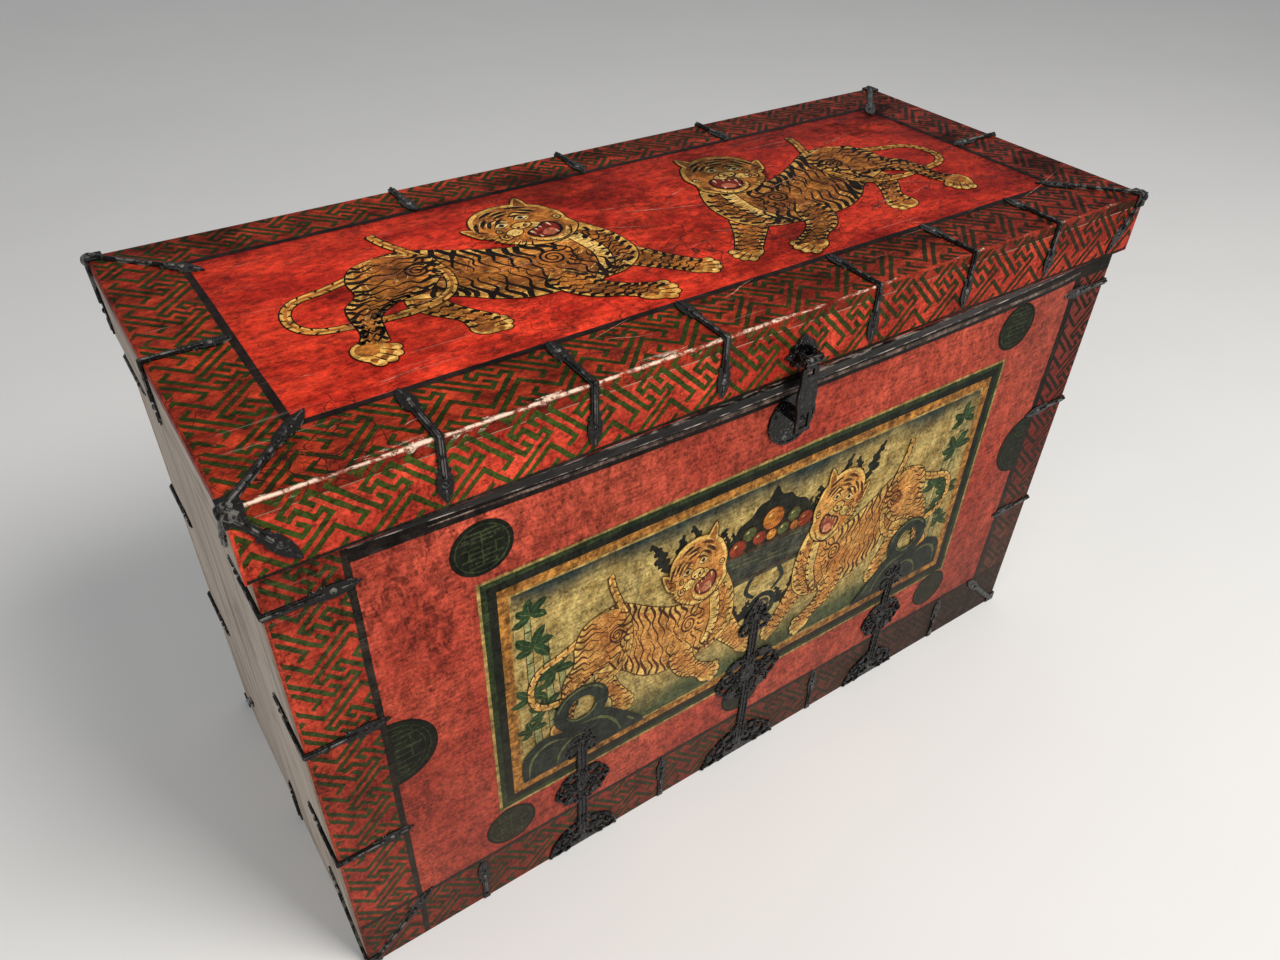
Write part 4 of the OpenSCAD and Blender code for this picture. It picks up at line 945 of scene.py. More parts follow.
def scroll(bm, centre, radius, start, sweep, wire):
    """A wire bent round a centre on the front, from start through sweep in degrees."""
    a = math.radians(start)
    inward = Vector((0, 1, 0))
    out = Vector((math.cos(a), 0, math.sin(a)))
    middle = Vector((centre[0], MOUNT_FACE, centre[1]))
    facing = Matrix((out, inward, out.cross(inward))).transposed().to_4x4()
    place = Matrix.Translation(middle + out * radius) @ facing
    ring = bmesh.ops.create_circle(bm, segments=6, radius=wire, matrix=place)["verts"]
    edges = list({edge for corner in ring for edge in corner.link_edges})
    bmesh.ops.spin(
        bm, geom=ring + edges, cent=middle, axis=-inward, angle=math.radians(sweep),
        steps=max(6, int(abs(sweep) * radius / 130)), use_merge=False,
    )
    for turn in (start, start + sweep):
        a = math.radians(turn)
        bead = Matrix.Translation(middle + Vector((math.cos(a), 0, math.sin(a))) * radius)
        bmesh.ops.create_icosphere(bm, subdivisions=2, radius=wire * 1.5, matrix=bead)


def mount_relief(name, foot, waist, crown):
    """Wire scrolls over one pierced mount, given each plate's width, height and middle."""
    low, high = node_box(name)
    x = (low.x + high.x) / 2
    (fw, fh), (ww, wh, wz), (cw, cz) = foot, waist, crown
    rise = fh * 0.84
    arch = (fw * fw / 4 + rise * rise) / (2 * rise)
    tilt = math.degrees(math.asin((arch - rise + 3) / arch))
    bm = bmesh.new()
    scroll(bm, (x, rise - arch), arch - 2, tilt, 180 - 2 * tilt, 1.3)
    scroll(bm, (x, fh * 0.82), fh * 0.14, -60, 300, 1.4)
    places = [
        (0.15 * fw, 0.62 * fh, 0.15 * fh, 100, 250),
        (0.28 * fw, 0.38 * fh, 0.17 * fh, 20, 290),
        (0.13 * fw, 0.3 * fh, 0.13 * fh, 200, 280),
        (0.38 * fw, 0.17 * fh, 0.13 * fh, 60, 270),
        (0.24 * fw, 0.12 * fh, 0.085 * fh, 0, 300),
        (0.39 * fw, 0.38 * fh, 0.07 * fh, 90, 300),
    ]
    for up in (-1, 1):
        places += [
            (0.19 * ww, wz + up * 0.27 * wh, 0.17 * wh, 30 * up, 280),
            (0.32 * ww, wz + up * 0.12 * wh, 0.12 * wh, 90 * up, 290),
            (0.16 * ww, wz + up * 0.09 * wh, 0.07 * wh, 0, 300),
            (0.09 * ww, wz + up * 0.38 * wh, 0.08 * wh, 40, 280),
        ]
    places += [
        (0.43 * ww, wz, 0.07 * wh, 30, 300),
        (0.27 * cw, cz - 0.32 * cw, 0.18 * cw, 10, 290),
        (0.17 * cw, cz + 0.12 * cw, 0.13 * cw, 120, 290),
    ]
    for u, v, radius, start, sweep in places:
        scroll(bm, (x + u, v), radius, start, sweep, 1.45)
        scroll(bm, (x - u, v), radius, 180 - start, -sweep, 1.45)
    bmesh.ops.holes_fill(bm, edges=[edge for edge in bm.edges if edge.is_boundary], sides=6)
    finish_metal(bm, 0.35)
    make_piece(name + "_scrolls", bm, VARNISHED, "box")


mount_relief("left_pierced_mount", (100, 60), (76, 66, 125), (46, 212))
mount_relief("middle_pierced_mount", (128, 65), (108, 86, 165), (52, 273))
mount_relief("right_pierced_mount", (100, 60), (76, 66, 125), (46, 212))
knobs = bmesh.new()
flatter = Matrix.Diagonal((1.0, 1.0, 0.9, 1.0))
for x in (LID_LOW.x + KNOB_INSET, LID_HIGH.x - KNOB_INSET):
    for y in (LID_LOW.y + KNOB_INSET, LID_HIGH.y - KNOB_INSET):
        place = Matrix.Translation((x, y, LID_HIGH.z - KNOB_INSET)) @ flatter
        bmesh.ops.create_icosphere(knobs, subdivisions=4, radius=KNOB_RADIUS, matrix=place)
for corner in knobs.verts:
    corner.co += noise.noise_vector(corner.co * 0.16) * 1.6
finish_metal(knobs, 0.5)
make_piece("lid_corner_knobs", knobs, IRON, "lid")

# %% [markdown]
# ## A striped cat as bands
# The two big cats on the lid are built from bands: a leg, a tail or a body is the surface
# between two curves. The same two curves give the fill, the pale edge, the fur and the
# stripes, so a stripe always follows the limb that it is on.

# %% A band between two curves
class Limb:
    """The surface between two smooth curves: t runs along it, s from one curve to the other."""

    def __init__(self, one, two):
        self.one, self.two = smooth(one), smooth(two)

    def at(self, t, s):
        a, b = between(self.one, t), between(self.two, t)
        return a[0] + (b[0] - a[0]) * s, a[1] + (b[1] - a[1]) * s

    def outline(self, s0=0.0, s1=1.0, steps=36):
        there = [self.at(i / steps, s0) for i in range(steps + 1)]
        return there + [self.at(1 - i / steps, s1) for i in range(steps + 1)]

    def edge(self, s, steps):
        return [self.at(k / steps, s) for k in range(steps + 1)]


def fur(layer, limb, rng, count, long=0.08, width=1.5, s_range=(0.16, 0.84)):
    """Short strokes along a limb."""
    for _ in range(count):
        t = rng.uniform(0.03, 0.97)
        s = rng.uniform(*s_range)
        end = min(t + long * rng.uniform(0.5, 1.2), 1.0)
        middle = limb.at((t + end) / 2, s + rng.uniform(-0.03, 0.03))
        tip = limb.at(end, s + rng.uniform(-0.04, 0.04))
        layer.stroke([limb.at(t, s), middle, tip], [0.2, width * rng.uniform(0.6, 1.2), 0.2], 4)


# Width of a stripe from the limb's edge inwards, in parts of its full width
STRIPE_SWELL = (0.9, 1.05, 0.95, 0.6, 0.46, 0.42, 0.32)


def stripes(layer, limb, rng, count, width, t_range=(0.03, 0.97), reach=(0.4, 0.6)):
    """Dark stripes in from both sides of a limb, bold at the edge and ending in a thin wave."""
    for i in range(count):
        t = t_range[0] + (t_range[1] - t_range[0]) * (i + 0.5) / count
        length = rng.uniform(*reach)
        lean, phase = rng.uniform(-0.014, 0.014), rng.uniform(0, 6)
        path = []
        for k in range(9):
            part = k / 8
            s = 1 - part * length if i % 2 else part * length
            path.append(limb.at(t + lean * part + 0.015 * math.sin(part * 11 + phase), s))
        wide = width * rng.uniform(0.8, 1.2)
        layer.stroke(path, [wide * part for part in STRIPE_SWELL] + [0.5], 20)


def spiral(centre, radius, turns, start=0.0):
    """A curl that shrinks towards its centre."""
    count = int(turns * 14)
    path = []
    for i in range(count + 1):
        k = i / count
        a = start + math.tau * turns * k
        r = radius * (1 - 0.84 * k)
        path.append((centre[0] + math.cos(a) * r, centre[1] + math.sin(a) * r))
    return path


def oval(centre, long, short, turn=0.0, steps=20):
    """The outline of an oval whose long axis is turned by degrees."""
    a, points = math.radians(turn), []
    across, up = math.cos(a), math.sin(a)
    for i in range(steps):
        x, y = math.cos(math.tau * i / steps) * long, math.sin(math.tau * i / steps) * short
        points.append((centre[0] + x * across - y * up, centre[1] + x * up + y * across))
    return points


def inset(outline, amount):
    """The outline pulled in by an amount along its own normals."""
    before, after = outline[-1:] + outline[:-1], outline[1:] + outline[:1]
    turn = 1.0 if sum(a[0] * b[1] - b[0] * a[1] for a, b in zip(outline, after)) > 0 else -1.0
    made = []
    for (u, v), (au, av), (bu, bv) in zip(outline, before, after):
        long = math.hypot(bu - au, bv - av) or 1.0
        made.append((u - turn * (bv - av) / long * amount, v + turn * (bu - au) / long * amount))
    return made


print("a stripe has", len(STRIPE_SWELL) + 1, "widths")

# %% [markdown]
# The cat is drawn once, facing right, in units of its own, with its middle at the origin. A
# second call turns it over. Parts further back are drawn first, on lower layers.

# %% Outlines of the cat
DRAWING_MIDDLE = (281, 187)


def spot(point):
    """A point, measured from the drawing's upper left corner, as a place from its middle, v up."""
    return point[0] - DRAWING_MIDDLE[0], DRAWING_MIDDLE[1] - point[1]


def drawn(*points):
    return [spot(point) for point in points]


LIMBS = {
    "far_hind": Limb(
        drawn((150, 195), (146, 232), (163, 262), (186, 290), (188, 318)),
        drawn((214, 200), (194, 232), (206, 264), (226, 294), (236, 322)),
    ),
    "far_fore": Limb(
        drawn((428, 250), (466, 286), (494, 312), (516, 334)),
        drawn((484, 212), (508, 256), (532, 292), (556, 322)),
    ),
    "body": Limb(
        drawn((108, 122), (150, 80), (188, 74), (224, 84), (264, 108), (306, 130), (348, 144),
              (400, 138), (450, 118)),
        drawn((112, 190), (160, 212), (212, 232), (248, 262), (292, 284), (338, 290), (388, 290),
              (432, 282), (466, 262)),
    ),
    "near_fore": Limb(
        drawn((346, 240), (330, 262), (338, 296), (362, 326), (396, 344), (418, 362)),
        drawn((366, 238), (386, 262), (398, 296), (418, 318), (444, 332), (466, 346)),
    ),
    "near_hind": Limb(
        drawn((158, 76), (120, 90), (101, 126), (99, 164), (76, 190), (70, 224), (68, 262), (50, 290)),
        drawn((172, 76), (208, 88), (230, 116), (224, 156), (190, 196), (142, 206), (108, 228),
              (98, 260), (92, 292)),
    ),
    "shoulder": Limb(
        drawn((440, 118), (484, 160), (491, 206), (478, 250), (440, 284)),
        drawn((430, 140), (446, 180), (444, 220), (430, 256), (398, 282)),
    ),
    "bib": Limb(
        drawn((422, 146), (428, 190), (428, 222), (414, 258), (390, 282)),
        drawn((446, 144), (454, 190), (452, 226), (434, 266), (398, 291)),
    ),
}
CHEST = smooth(drawn(
    (392, 150), (424, 118), (458, 112), (482, 150), (493, 196), (488, 242), (462, 272), (424, 286),
    (388, 274), (376, 214),
), True)
TAIL = smooth(drawn(
    (118, 112), (72, 128), (26, 140), (6, 166), (5, 200), (26, 226), (72, 236), (130, 240), (178, 234),
    (212, 212), (227, 172), (223, 124), (204, 76), (188, 38), (181, 6),
))
FACE = smooth(drawn(
    (328, 104), (318, 82), (317, 58), (324, 36), (342, 18), (368, 9), (394, 9), (418, 17), (440, 32),
    (452, 52), (460, 74), (458, 98), (462, 120), (446, 142), (420, 156), (388, 158), (358, 144), (336, 126),
), True)
EARS = [smooth(drawn(*ear), True) for ear in (
    ((300, 60), (318, 68), (336, 84), (336, 106), (316, 100), (305, 80)),
    ((402, 34), (408, 12), (424, -8), (430, 16), (424, 42), (412, 46)),
)]
NOSE = smooth(drawn((370, 84), (382, 76), (396, 78), (402, 88), (392, 97), (376, 97)), True)
MOUTH = smooth(drawn(
    (382, 116), (392, 108), (404, 104), (418, 94), (430, 99), (435, 114), (429, 130), (414, 140),
    (398, 138), (386, 128),
), True)
TONGUE = smooth(drawn((400, 127), (409, 117), (420, 117), (425, 127), (414, 136), (404, 135)), True)
JAW = drawn((376, 126), (388, 143), (410, 151), (432, 141), (444, 120))
print("outlines of", len(LIMBS), "limbs")

# %% Draw a cat
LIMB_USES = ("under", "edge", "coat", "fur", "light", "stripe")
HEAD_USES = ("under", "edge", "coat", "fur", "light", "white", "stripe", "dark", "red", "pink", "tooth")


class CatPaints:
    """The layers that a cat is drawn with, from the board outwards, and how bold its stripes are."""

    def __init__(self, prefix, board, lift, colours, bold):
        self.layers = {}
        self.bold = bold
        for k, part in enumerate(("far", "body", "near", "head")):
            for j, use in enumerate(HEAD_USES if part == "head" else LIMB_USES):
                height = lift + 0.27 * k + 0.045 * j
                self.layers[part, use] = Layer(f"{prefix}_{part}_{use}", board, height, colours[use])

    def place(self, at, size, flip, tall):
        for layer in self.layers.values():
            layer.place(at, size, flip, tall)

    def finish(self):
        for layer in self.layers.values():
            layer.finish()


def draw_paw(lay, part, centre, size, turn):
    """A paw with four toes that point along turn in degrees, outlined in the dark colour."""
    c = spot(centre)
    a = math.radians(turn)
    ahead, aside = (math.cos(a), math.sin(a)), (-math.sin(a), math.cos(a))

    def at(f, n):
        """A place on the paw: f ahead of its middle and n beside it, in sizes."""
        return c[0] + size * (ahead[0] * f + aside[0] * n), c[1] + size * (ahead[1] * f + aside[1] * n)

    lay[part, "under"].shape(oval(c, size * 0.95 + 2, size * 0.74 + 2, turn))
    lay[part, "edge"].shape(oval(c, size * 0.95, size * 0.74, turn))
    for f, n in ((0.5, -0.56), (0.74, -0.2), (0.74, 0.2), (0.5, 0.56)):
        toe = at(f, n)
        lay[part, "under"].shape(oval(toe, size * 0.36 + 2, size * 0.27 + 2, turn + n * 40))
        lay[part, "edge"].shape(oval(toe, size * 0.36, size * 0.27, turn + n * 40))
        lay[part, "coat"].shape(oval(at(f - 0.16, n), size * 0.2, size * 0.15, turn))
        lay[part, "light"].shape(oval(at(f + 0.12, n), size * 0.16, size * 0.12, turn))
    lay[part, "coat"].shape(oval(at(-0.3, 0), size * 0.5, size * 0.46, turn))
    for n in (-0.4, 0.0, 0.4):
        claw = [at(0.95 - abs(n) * 0.5, n), at(0.5, n * 0.9), at(0.15, n * 0.7)]
        lay[part, "stripe"].stroke(claw, [2.0, 2.6, 0.6], 6)


def draw_tail(lay, part, t0, t1):
    """The tail from t0 to t1, with short stripes from both sides in turn."""
    path = [between(TAIL, t0 + (t1 - t0) * k / 60) for k in range(61)]
    lay[part, "under"].stroke(path, [19.0, 17.5, 16.5, 17.0, 16.5], 60)
    lay[part, "edge"].stroke(path, [14.6, 13.6, 12.6, 13.0, 12.5], 60)
    lay[part, "coat"].stroke(path, [5.0, 4.6, 4.2, 4.6, 4.2], 60)
    rings = int(52 * (t1 - t0))
    for k in range(rings):
        t = (k + 0.5) / rings
        a, b = between(path, max(t - 0.01, 0)), between(path, min(t + 0.01, 1))
        long = math.hypot(b[0] - a[0], b[1] - a[1]) or 1
        du, dv = (b[0] - a[0]) / long, (b[1] - a[1]) / long
        u, v = between(path, t)
        side = 1 if k % 2 else -1
        edge = (u - dv * 6.8 * side, v + du * 6.8 * side)
        tip = (u + du * 4 - dv * 1.4 * side, v + dv * 4 + du * 1.4 * side)
        lay[part, "stripe"].stroke([edge, tip], [4.4, 0.7], 3)


def draw_swirl(lay, centre, radius):
    """A curl of stripes on a thigh or shoulder, with short stripes that fan out from it."""
    u, v = spot(centre)
    lay["near", "coat"].shape(oval((u, v), radius * 1.25, radius * 1.05, 10, 26))
    lay["near", "edge"].stroke(spiral((u, v), radius * 0.86, 1.9, 0.6), [1.8, 1.5, 1.2], 50)
    lay["near", "stripe"].stroke(spiral((u, v), radius, 2.2, 0.6), [4.4, 4.0, 3.2, 2.4], 60)
    for k in range(6):
        a = -1.1 + k * 0.44
        base = (u + math.cos(a) * radius * 1.1, v + math.sin(a) * radius * 1.1)
        bend = (base[0] + 10 * math.cos(a - 0.6), base[1] + 10 * math.sin(a - 0.6))
        tip = (base[0] + 24 * math.cos(a), base[1] + 20 * math.sin(a))
        lay["near", "stripe"].stroke([base, bend, tip], [4.4, 3.2, 0.4], 8)


def draw_cat(paints, at, size, flip, seed, tall=1.0):
    """One striped cat with a turned head, raised tail and spread paws."""
    paints.place(at, size, flip, tall)
    rng = random.Random(seed)
    lay = paints.layers

    def limb_part(part, name, stripe_count, fur_count, width, t_range=(0.05, 0.97)):
        limb = LIMBS[name]
        for s in (0.0, 1.0):
            lay[part, "under"].stroke(limb.edge(s, 30), [3.0, 4.4, 4.0, 4.6, 3.6], 40)
        lay[part, "edge"].shape(limb.outline())
        lay[part, "coat"].shape(limb.outline(0.09, 0.91))
        fur(lay[part, "fur"], limb, rng, fur_count, 0.05, s_range=(0.22, 0.78))
        for s_range in ((0.02, 0.24), (0.76, 0.98)):
            fur(lay[part, "light"], limb, rng, fur_count // 3, 0.06, 1.8, s_range)
        fur(lay[part, "light"], limb, rng, fur_count // 4, 0.05, 1.2)
        stripes(lay[part, "stripe"], limb, rng, stripe_count, width * paints.bold, t_range)

    limb_part("far", "far_hind", 15, 60, 5.8)
    draw_paw(lay, "far", (212, 320), 27, 4)
    limb_part("far", "far_fore", 17, 60, 5.6)
    draw_paw(lay, "far", (536, 328), 27, -22)
    lay["body", "under"].stroke(CHEST + CHEST[:1], [4.4, 4.4], 80)
    lay["body", "edge"].shape(CHEST)
    limb_part("body", "body", 32, 260, 8.6, (0.16, 0.9))
    shoulder = LIMBS["shoulder"]
    lay["body", "coat"].shape(shoulder.outline(0.16, 0.9))
    fur(lay["body", "fur"], shoulder, rng, 80, 0.1)
    fur(lay["body", "light"], shoulder, rng, 40, 0.08, 1.8, (0.0, 0.3))
    stripes(lay["body", "stripe"], shoulder, rng, 20, 6.4 * paints.bold, reach=(0.5, 0.9))
    bib = LIMBS["bib"]
    lay["body", "light"].shape(bib.outline())
    for k in range(22):
        t = (k + 0.5) / 22
        path = [bib.at(t, 0.2), bib.at(t + 0.012, 0.5), bib.at(t, 0.8)]
        lay["body", "stripe"].stroke(path, [0.4, 1.3, 0.4], 4)
    for s in (0.0, 1.0):
        lay["body", "stripe"].stroke(bib.edge(s, 12), [1.6, 2.6, 1.8], 20)
    draw_tail(lay, "body", 0.0, 0.5)
    limb_part("near", "near_hind", 34, 130, 6.8, (0.14, 0.97))
    draw_paw(lay, "near", (66, 306), 31, -50)
    limb_part("near", "near_fore", 20, 70, 6.2, (0.16, 0.97))
    draw_paw(lay, "near", (440, 356), 30, -16)
    draw_tail(lay, "near", 0.5, 1.0)
    draw_swirl(lay, (196, 140), 19)
    draw_swirl(lay, (374, 200), 21)
    draw_head({use: lay["head", use] for use in HEAD_USES}, rng)


def draw_eye(head, centre, lean):
    """An eye with a bold lid, a pale pouch and a dark line under it."""
    c = spot(centre)

    def line(use, widths, *points):
        head[use].stroke([(c[0] + u, c[1] + v) for u, v in points], widths, 12)

    head["light"].shape(oval(c, 13, 9.5, lean))
    head["white"].shape(oval(c, 8.5, 4.4, lean))
    head["dark"].dot(c, 4.2)
    line("stripe", [1.4, 3.6, 1.4], (-13, -2), (-2, 9), (13, 1))
    line("stripe", [0.8, 2.2, 0.8], (-11, -3), (0, -8), (12, -1))
    line("light", [1.0, 6.0, 1.0], (-16, 6), (-2, 17), (15, 9))
    line("stripe", [0.8, 3.0, 0.8], (-17, 9), (-2, 21), (16, 13))


def draw_head(head, rng):
    """The head seen from the front, turned a little, mouth open."""
    middle = spot((384, 84))

    def bow(radius, start, end, flat=1.0):
        """Part of a ring round the head's middle, from start to end in degrees."""
        angles = [math.radians(start + (end - start) * k / 6) for k in range(7)]
        return [(middle[0] + math.cos(a) * radius, middle[1] + math.sin(a) * radius * flat) for a in angles]

    for ear in EARS:
        head["under"].stroke(ear + ear[:1], [4.2, 4.2], 40)
        head["edge"].shape(ear)
        head["fur"].shape(inset(ear, 4.0))
    head["under"].stroke(FACE + FACE[:1], [4.6, 4.2, 4.6, 4.2], 120)
    head["edge"].shape(FACE)
    head["coat"].shape(inset(FACE, 7.0))
    for _ in range(90):
        a, r = math.radians(rng.uniform(20, 330)), rng.uniform(20, 60)
        c = spot((384 + math.cos(a) * r, 84 - math.sin(a) * r))
        head["fur"].stroke([c, (c[0] + math.cos(a) * 6, c[1] + math.sin(a) * 6)], [2.2, 0.5], 2)
    for radius, parts in (
        (34, ((60, 96), (112, 150))),
        (44, ((40, 76), (88, 124), (136, 170))),
        (54, ((34, 70), (84, 118), (130, 166))),
        (64, ((54, 86), (100, 132), (146, 178))),
    ):
        for start, end in parts:
            head["stripe"].stroke(bow(radius, start, end, 0.98), [0.8, 7.0, 6.0, 0.6], 12)
            head["light"].stroke(bow(radius + 4.6, start + 4, end - 4, 0.98), [0.4, 1.8, 0.4], 10)
    for start in range(176, 262, 9):
        head["stripe"].stroke([bow(70, start, start)[0], bow(54, start + 5, start)[0]], [3.6, 0.5], 4)
    draw_eye(head, (360, 74), 14)
    draw_eye(head, (398, 62), 4)
    for lobe, long, short, turn in (((366, 104), 15, 11, 20), ((402, 92), 14, 10, -10)):
        outline = oval(spot(lobe), long, short, turn, 26)
        head["light"].shape(outline)
        head["stripe"].stroke(outline + outline[:1], [1.8, 1.8], 40)
        for du, dv in ((-5, 2), (1, -2), (5, 3)):
            u, v = spot((lobe[0] + du, lobe[1] + dv))
            head["stripe"].stroke([(u - 1.2, v), (u + 1.2, v)], [1.8, 1.8], 2)
    head["light"].shape(NOSE)
    head["stripe"].stroke(NOSE + NOSE[:1], [2.2, 2.6, 2.2], 30)
    for nostril in ((379, 91), (392, 89)):
        head["dark"].dot(spot(nostril), 2.8)
    head["stripe"].stroke(MOUTH + MOUTH[:1], [4.4, 5.0, 4.4], 60)
    head["dark"].shape(MOUTH)
    head["red"].shape(inset(MOUTH, 2.4))
    head["pink"].shape(TONGUE)
    for base, tip, wide in (
        ((388, 112), (391, 123), 4.6),
        ((398, 107), (399, 113), 3.4),
        ((407, 103), (408, 109), 3.4),
        ((422, 97), (424, 109), 4.6),
        ((395, 136), (394, 128), 4),
        ((423, 133), (422, 124), 4),
    ):
        head["tooth"].stroke(drawn(base, tip), [wide, 0.8], 3)
    head["light"].stroke(JAW, [2.0, 8.0, 9.0, 8.0, 2.0], 30)
    chin = drawn((372, 122), (383, 144), (409, 156), (436, 146), (450, 120))
    head["stripe"].stroke(chin, [0.8, 2.6, 3.0, 2.6, 0.8], 30)
    for k in range(9):
        t = (k + 0.5) / 9
        u, v = between(smooth(JAW), t)
        head["stripe"].stroke([(u, v), (u + (t - 0.5) * 8, v - 7)], [1.6, 0.4], 3)
    for centre, r, a in (((350, 112), 12, 2.4), ((348, 92), 7, 1.0), ((446, 84), 9, 4.0)):
        head["light"].stroke(spiral(spot(centre), r * 0.8, 1.2, a), [2.6, 2.0, 1.0], 24)
        head["stripe"].stroke(spiral(spot(centre), r, 1.5, a), [2.8, 2.4, 1.6], 24)
    for _ in range(70):
        a, r = math.radians(rng.uniform(60, 250)), rng.uniform(40, 70)
        c = spot((384 + math.cos(a) * r, 84 - math.sin(a) * r * 0.98))
        head["light"].stroke([c, (c[0] + math.cos(a) * 5, c[1] + math.sin(a) * 5)], [1.2, 0.3], 2)


# %% Draw the two cats of the top
TOP_COLOURS = {
    "edge": paint("cat_top_edge", "top", seen(240, 186, 92), seen(196, 130, 54), 60.0),
    "coat": paint("cat_top_coat", "top", seen(206, 126, 50), seen(138, 76, 32), 46.0),
    "fur": paint("cat_top_fur", "top", seen(126, 68, 28), seen(158, 92, 36), 60.0),
    "light": paint("cat_top_light", "top", seen(252, 208, 120), seen(222, 164, 80), 60.0),
    "stripe": paint("cat_top_stripe", "top", seen(18, 12, 8), seen(34, 20, 12), 60.0),
    "red": paint("cat_top_red", "top", seen(132, 34, 22)),
    "pink": paint("cat_top_pink", "top", seen(196, 104, 74)),
    "white": paint("cat_top_white", "top", seen(226, 204, 160)),
    "dark": paint("cat_top_dark", "top", seen(26, 14, 12)),
}
TOP_COLOURS["under"], TOP_COLOURS["tooth"] = TOP_COLOURS["stripe"], TOP_COLOURS["white"]
# Millimetres of the top for one unit of the drawing, which is 560 units long
TOP_CAT_UNIT = 413.0 / 560.0
top_cats = CatPaints("top_cat", TOP, 0.14, TOP_COLOURS, 1.0)
draw_cat(top_cats, (-218.5, -1.5), TOP_CAT_UNIT, False, 4)
draw_cat(top_cats, (221.5, -1.5), TOP_CAT_UNIT, True, 9)
top_cats.finish()

# %% [markdown]
# Long pale scratches cross the whole top, over the paint and the cats. They are single thin
# strokes, nearly along the lid, because things were dragged over it from the sides.

# %% Scratches over the top
SCRATCH = paint("scratch_pale", "top", seen(226, 168, 146), seen(196, 96, 72), 200.0)
scratches = Layer("top_scratches", TOP, 1.4, SCRATCH)
rng = random.Random(77)
for k in range(52):
    deep = k % 7 == 0
    u, v = rng.uniform(-470, 420), rng.uniform(TOP_LINE_FRONT - 50, TOP_LINE_BACK - 10)
    long, tilt = rng.uniform(8, 60) * (2.2 if deep else 1.0), rng.uniform(-0.5, 0.4)
    path = [(u + long * t, v + long * t * tilt + rng.uniform(-1.2, 1.2)) for t in (0, 0.3, 0.6, 1.0)]
    wide = rng.uniform(0.4, 1.0) + (0.7 if deep else 0.0)
    scratches.stroke(path, [0.15, wide, wide * 0.6, 0.15], 12)
scratches.finish()

# %% [markdown]
# ## The picture on the front
# The picture is a design of its own in the colours and scale of such trunks: a sky that fades
# from dark teal to cream, green ground, two striped cats, a bowl of fruit before a dark flame
# shape, curling smoke, bamboo and hollow rocks. Each thing is a few shapes and strokes.

# %% Ground of the picture
def picture_ground():
    """A sky that fades from dark teal to cream over green ground, with dark specks."""
    f = Finish("picture_ground")
    wave = f.noise(14.0, 4.0, (1.0, 1.0, 0.5)) * 0.05
    height = f.z + wave - 0.025
    sky = f.ramp(height, 0.448, 0.49)
    grass = f.ramp(height, 0.262, 0.2)
    cream = f.mix(f.ramp(f.noise(40.0, 5.0, None, 0.65), 0.38, 0.66), seen(196, 170, 104), seen(160, 132, 72))
    tone = f.mix(sky, cream, seen(44, 56, 52))
    tone = f.mix(grass, tone, f.mix(f.noise(30.0, 4.0), seen(58, 72, 46), seen(84, 92, 56)))
    specks = f.ramp(f.noise(420.0, 2.0), 0.6, 0.68) * 0.5
    tone = f.mix(specks, tone, seen(96, 74, 44))
    aged, roughness, height = aged_front(f, tone)
    return f.done(aged, roughness, height, PAINT_DEPTH, PAINT_SHINE)


FRAME_W = 33.0
IN_LOW = (PICTURE_LOW[0] + FRAME_W, PICTURE_LOW[1] + FRAME_W)
IN_HIGH = (PICTURE_HIGH[0] - FRAME_W, PICTURE_HIGH[1] - FRAME_W)
MIDDLE = (IN_LOW[0] + IN_HIGH[0]) / 2
layer = Layer("picture_ground", FRONT, COAT_LIFT, picture_ground())
layer.shape([IN_LOW, (IN_HIGH[0], IN_LOW[1]), IN_HIGH, (IN_LOW[0], IN_HIGH[1])])
layer.finish()

# %% Paints of the picture
PICTURE_PAINTS = {
    "teal": paint("picture_dark_teal", "front", seen(30, 40, 36), seen(50, 60, 50)),
    "scroll": paint("picture_dark_scroll", "front", seen(30, 31, 26), seen(42, 42, 32)),
    "leaf": paint("picture_leaf_green", "front", seen(38, 62, 36), seen(52, 78, 44)),
    "stalk": paint("picture_stalk", "front", seen(142, 140, 88), seen(168, 162, 106)),
    "moss": paint("picture_moss", "front", seen(84, 92, 58), seen(112, 112, 66)),
    "fruit_red": paint("picture_fruit_red", "front", seen(158, 66, 40), seen(122, 46, 32)),
    "fruit_gold": paint("picture_fruit_gold", "front", seen(196, 126, 50), seen(164, 88, 38)),
    "fruit_green": paint("picture_fruit_green", "front", seen(92, 96, 52), seen(68, 76, 44)),
    "pale": paint("picture_pale", "front", seen(222, 198, 130), seen(196, 168, 100)),
    "bowl": paint("picture_bowl", "front", seen(52, 56, 48), seen(78, 76, 62), 70.0),
    "brown": paint("picture_brown_line", "front", seen(70, 44, 28), seen(96, 62, 34)),
}


def picture_layers(prefix, lift, *uses):
    """Layers for some of the paints, each a little above the one before."""
    layers = {}
    for k, use in enumerate(uses):
        layers[use] = Layer(f"{prefix}_{use}", FRONT, lift + 0.05 * k, PICTURE_PAINTS[use])
    return layers


print("paints of the picture", len(PICTURE_PAINTS))

# %% [markdown]
# Smoke is a swelling stem that tapered branches rise from. Each branch carries round lobes on
# both sides, so a few of them from one stem give the dark branching smoke.

# %% Smoke, bowl and fruit
def branch(layer, base, reach, lean, width):
    """A rising branch of smoke: a tapered stem with round lobes on both sides of it."""
    path = [base, (base[0] + lean * 0.15, base[1] + reach * 0.5), (base[0] + lean, base[1] + reach)]
    layer.stroke(path, [width * 1.1, width * 0.8, width * 0.3], 20)
    for k in range(1, 7):
        u, v = between(path, k / 7)
        aside = width * (0.52 - 0.04 * k) * (1 if k % 2 else -1)
        layer.dot((u + aside, v), width * (0.54 - 0.05 * k), 14)


